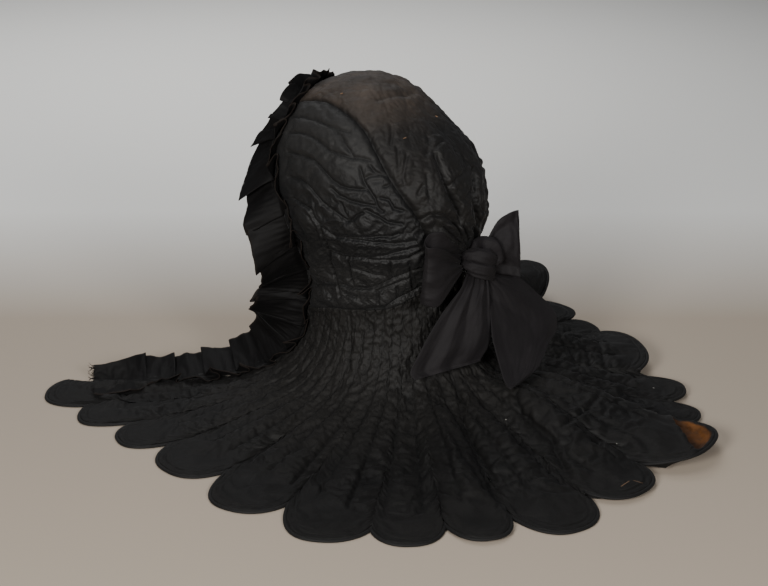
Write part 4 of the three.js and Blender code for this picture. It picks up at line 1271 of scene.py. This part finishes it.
def bow_ribbon_piece(name, node, sections, folds, count=110, across_count=56, belly=3.0):
    """A ribbon between its charted edges, with folds sunk into it or standing out of it."""
    first = catmull([from_photo(*row[0]) for row in sections], count)
    last = catmull([from_photo(*row[1]) for row in sections], count)
    w = np.linspace(-1, 1, across_count)
    share = np.linspace(0, 1, count)
    grid = mix(first[:, None], last[:, None], (w[None, :, None] + 1) / 2)
    normal = unit(np.cross(np.gradient(grid, axis=0), np.gradient(grid, axis=1)))
    normal = normal * np.sign(normal[count // 2, across_count // 2] @ -CAMERA["forward"])
    places = np.stack(np.meshgrid(share * 1.6, w, indexing="ij"), -1)
    bulge = belly * (1 - w[None] ** 2) * np.sin(math.pi * np.clip(share, 0.05, 0.8))[:, None]
    for depth, width, line in folds:
        gap = line_distance(places, np.array(line) * [1.6, 1])[0]
        bulge = bulge - 0.6 * depth * np.exp(-np.abs(gap / (1.1 * width)) ** 1.6)
    gathered = np.exp(-share * 9)[:, None]
    bulge = bulge + 1.6 * gathered * np.sin(w[None] * 14 + share[:, None] * 3)
    bulge = bulge + 1.3 * noise(places[..., 1] * 2.2, places[..., 0] * 3.0, 41 + len(sections))
    bulge = bulge + 0.35 * noise(places[..., 1] * 9, places[..., 0] * 6, 43)
    grid = grid + normal * bulge[..., None]
    rib = np.repeat(run_along((first + last) / 2)[:, None] / 1.6, across_count, 1)
    edge = np.repeat(((np.abs(w) > 0.965) * 0.5)[None], count, 0)
    obj = shell(name, grid, grid - normal * 0.7, False, {"rib": rib, "edge": edge})
    place(obj, [node], "bow", bow_ribbon)


def knot():
    """Turns of ribbon drawn tight over one another."""
    around = np.linspace(0, 2 * math.pi, 41)
    grids = []
    for number, turns in enumerate(KNOT_TURNS):
        rows = np.array(turns, float)
        path = catmull([from_photo(*row[:3]) for row in rows], 48)
        thick = np.interp(np.linspace(0, len(rows) - 1, 48), np.arange(len(rows)), rows[:, 3])
        thick = thick * np.sqrt(np.clip(1.15 - np.abs(np.linspace(-1, 1, 48)) ** 6, 0.02, 1))
        travel = unit(np.gradient(path, axis=0))
        wide = unit(np.cross(travel, CAMERA["forward"]))
        deep = np.cross(wide, travel)
        ridges = 1 + 0.08 * np.sin(around[None] * 5 + number) + 0.16 * noise(
            around[None] * 2 + 0 * thick[:, None], thick[:, None] * 0.8 + 0 * around[None], 52 + number)
        radius = thick[:, None] * ridges
        grids.append(path[:, None] + wide[:, None] * (radius * np.cos(around))[..., None]
                     + deep[:, None] * (0.55 * radius * np.sin(around))[..., None])
    points, faces, rib = [], [], []
    for grid in grids:
        grid[:, -1] = grid[:, 0]
        faces.append(grid_faces(48, 41, 48 * 41 * len(points)))
        points.append(grid)
        rib.append(np.repeat(np.linspace(0, 14, 48)[:, None], 41, 1))
    points = np.stack(points)
    obj = mesh_object("knot_ribbon", points, np.concatenate(faces),
                      {"rib": np.stack(rib), "edge": np.zeros(points.shape[:-1])})
    place(obj, ["bow_knot"], "bow", bow_ribbon)
    return obj


def loose_stitches():
    """Short ends of tan thread, and bits of lint, lying on the cloth where the photograph shows them."""
    bpy.context.view_layer.update()
    graph = bpy.context.evaluated_depsgraph_get()
    eye = (CAMERA["place"] - NECK_AXIS) / 1000
    rings, sides, radius = 6, 6, 0.45
    points, faces = [], []
    around = np.linspace(0, 2 * math.pi, sides + 1)[:-1]
    for start, end in STITCHES + LINT:
        rows = []
        for share in np.linspace(0, 1, rings):
            spot = mix(np.array(start, float), np.array(end, float), share)
            ray = unit(from_photo(spot[0], spot[1], 0) - CAMERA["place"])
            hit, where, normal, _, _, _ = bpy.context.scene.ray_cast(graph, tuple(eye), tuple(ray))
            if hit:
                rows.append(np.array(where) * 1000 + NECK_AXIS + np.array(normal) * 0.3)
        rows = np.array(rows)
        travel = unit(np.gradient(rows, axis=0))
        side = unit(np.cross(travel, CAMERA["forward"]))
        faces += tube_faces(len(points), len(rows), sides)
        for row, wide, high in zip(rows, side, np.cross(side, travel)):
            points.extend(row + radius * (math.cos(a) * wide + math.sin(a) * high) for a in around)
    obj = mesh_object("loose_stitches", np.array(points), faces)
    place(obj, [], "piping", tan_thread, pale_lint)
    for face in obj.data.polygons[(rings - 1) * sides * len(STITCHES):]:
        face.material_index = 1


# ---- studio
def studio():
    """A plain paper floor, warm near the object and paler behind it, where the paler part is partly painted
    light standing in for a lit backdrop.
    """
    size, forward = 14.0, CAMERA["forward"][:2] / np.linalg.norm(CAMERA["forward"][:2])
    mesh = bpy.data.meshes.new("floor")
    mesh.from_pydata([(x, y, 0) for x, y in ((-size, -size), (size, -size), (size, size), (-size, size))], [],
                     [(0, 1, 2, 3)])
    obj = linked("floor", mesh)
    material, tree, shader = node_material("floor_paper")
    where = tree.nodes.new("ShaderNodeTexCoord").outputs["Object"]
    away = add(tree, "ShaderNodeVectorMath", {"operation": "DOT_PRODUCT"}, at0=where,
               at1=(forward[0], forward[1], 0.0))
    share = ramp(tree, away.outputs["Value"], 0.20, 0.62)
    # pale far floor: grey paper, partly painted light for a lit backdrop
    colour = mix_colour(tree, share, (0.365, 0.309, 0.249, 1), (0.78, 0.775, 0.745, 1))
    feed(tree, shader.inputs["Base Color"], colour)
    shader.inputs["Roughness"].default_value = 0.9
    mesh.materials.append(material)


def turn_to(obj, place_at, right, up, back):
    matrix = Matrix(np.column_stack([right, up, back]).tolist()).to_4x4()
    matrix.translation = place_at
    obj.matrix_world = matrix


def area_light(name, place_at, target, size, power, colour, spread):
    light = bpy.data.lights.new(name, "AREA")
    light.shape = "RECTANGLE"
    light.size, light.size_y = size
    light.energy = power
    light.spread = math.radians(spread)
    light.color = colour
    back = unit(place_at - target)
    side = unit(np.cross([0, 0, 1.0], back))
    turn_to(linked(name, light), tuple(place_at), side, np.cross(back, side), back)


def lights():
    world = bpy.data.worlds.new("studio_air")
    bpy.context.scene.world = world
    world.use_nodes = True
    world.node_tree.nodes["Background"].inputs[0].default_value = (0.9, 0.93, 1.0, 1)
    world.node_tree.nodes["Background"].inputs[1].default_value = 0.12
    level = unit(CAMERA["forward"] * np.array([1, 1, 0]))

    def spot(right, ahead, up):
        return right * CAMERA["right"] + ahead * level + np.array([0, 0, up])

    warm, white = (1.0, 0.98, 0.95), (1, 1, 1)
    area_light("left", spot(-0.72, -1.65, 0.82), spot(0, 0, 0.12), (0.45, 0.45), 32, warm, 180)
    area_light("right", spot(0.80, -1.63, 0.82), spot(0, 0, 0.12), (0.45, 0.45), 19, warm, 180)
    area_light("top", spot(-0.3, -0.1, 2.0), spot(0, 0, 0.1), (1.2, 0.8), 9, white, 180)
    area_light("behind", spot(-0.5, 1.6, 1.9), spot(-0.5, 1.75, 0), (1.8, 1.5), 19, white, 120)


def camera():
    data = bpy.data.cameras.new("camera")
    data.sensor_width = CAMERA["sensor_mm"]
    data.lens = CAMERA["focal_px"] * CAMERA["sensor_mm"] / CAMERA["frame_px"][0]
    data.clip_start, data.clip_end = 0.05, 50
    obj = linked("camera", data)
    turn_to(obj, tuple((CAMERA["place"] - NECK_AXIS) / 1000), CAMERA["right"], CAMERA_UP, -CAMERA["forward"])
    bpy.context.scene.camera = obj


camera()
side_panels()
crown()
cape()
hem_binding()
face_ruffle()
face_binding()
knot_ribbon = knot()
bow_ribbon_piece("bow_loop", "bow_loop_left", BOW_LOOP, LOOP_FOLDS, belly=2.0)
bow_ribbon_piece("bow_tail_front", "bow_tail_left", BOW_TAIL_FRONT, TAIL_FRONT_FOLDS)
bow_ribbon_piece("bow_tail_back", "bow_tail_right", BOW_TAIL_BACK, TAIL_BACK_FOLDS, belly=4.0)
bow_ribbon_piece("bow_tail_top", "bow_tail_up", BOW_TAIL_TOP, TAIL_TOP_FOLDS, 70, 44, 1.5)
loose_stitches()
lights()
studio()
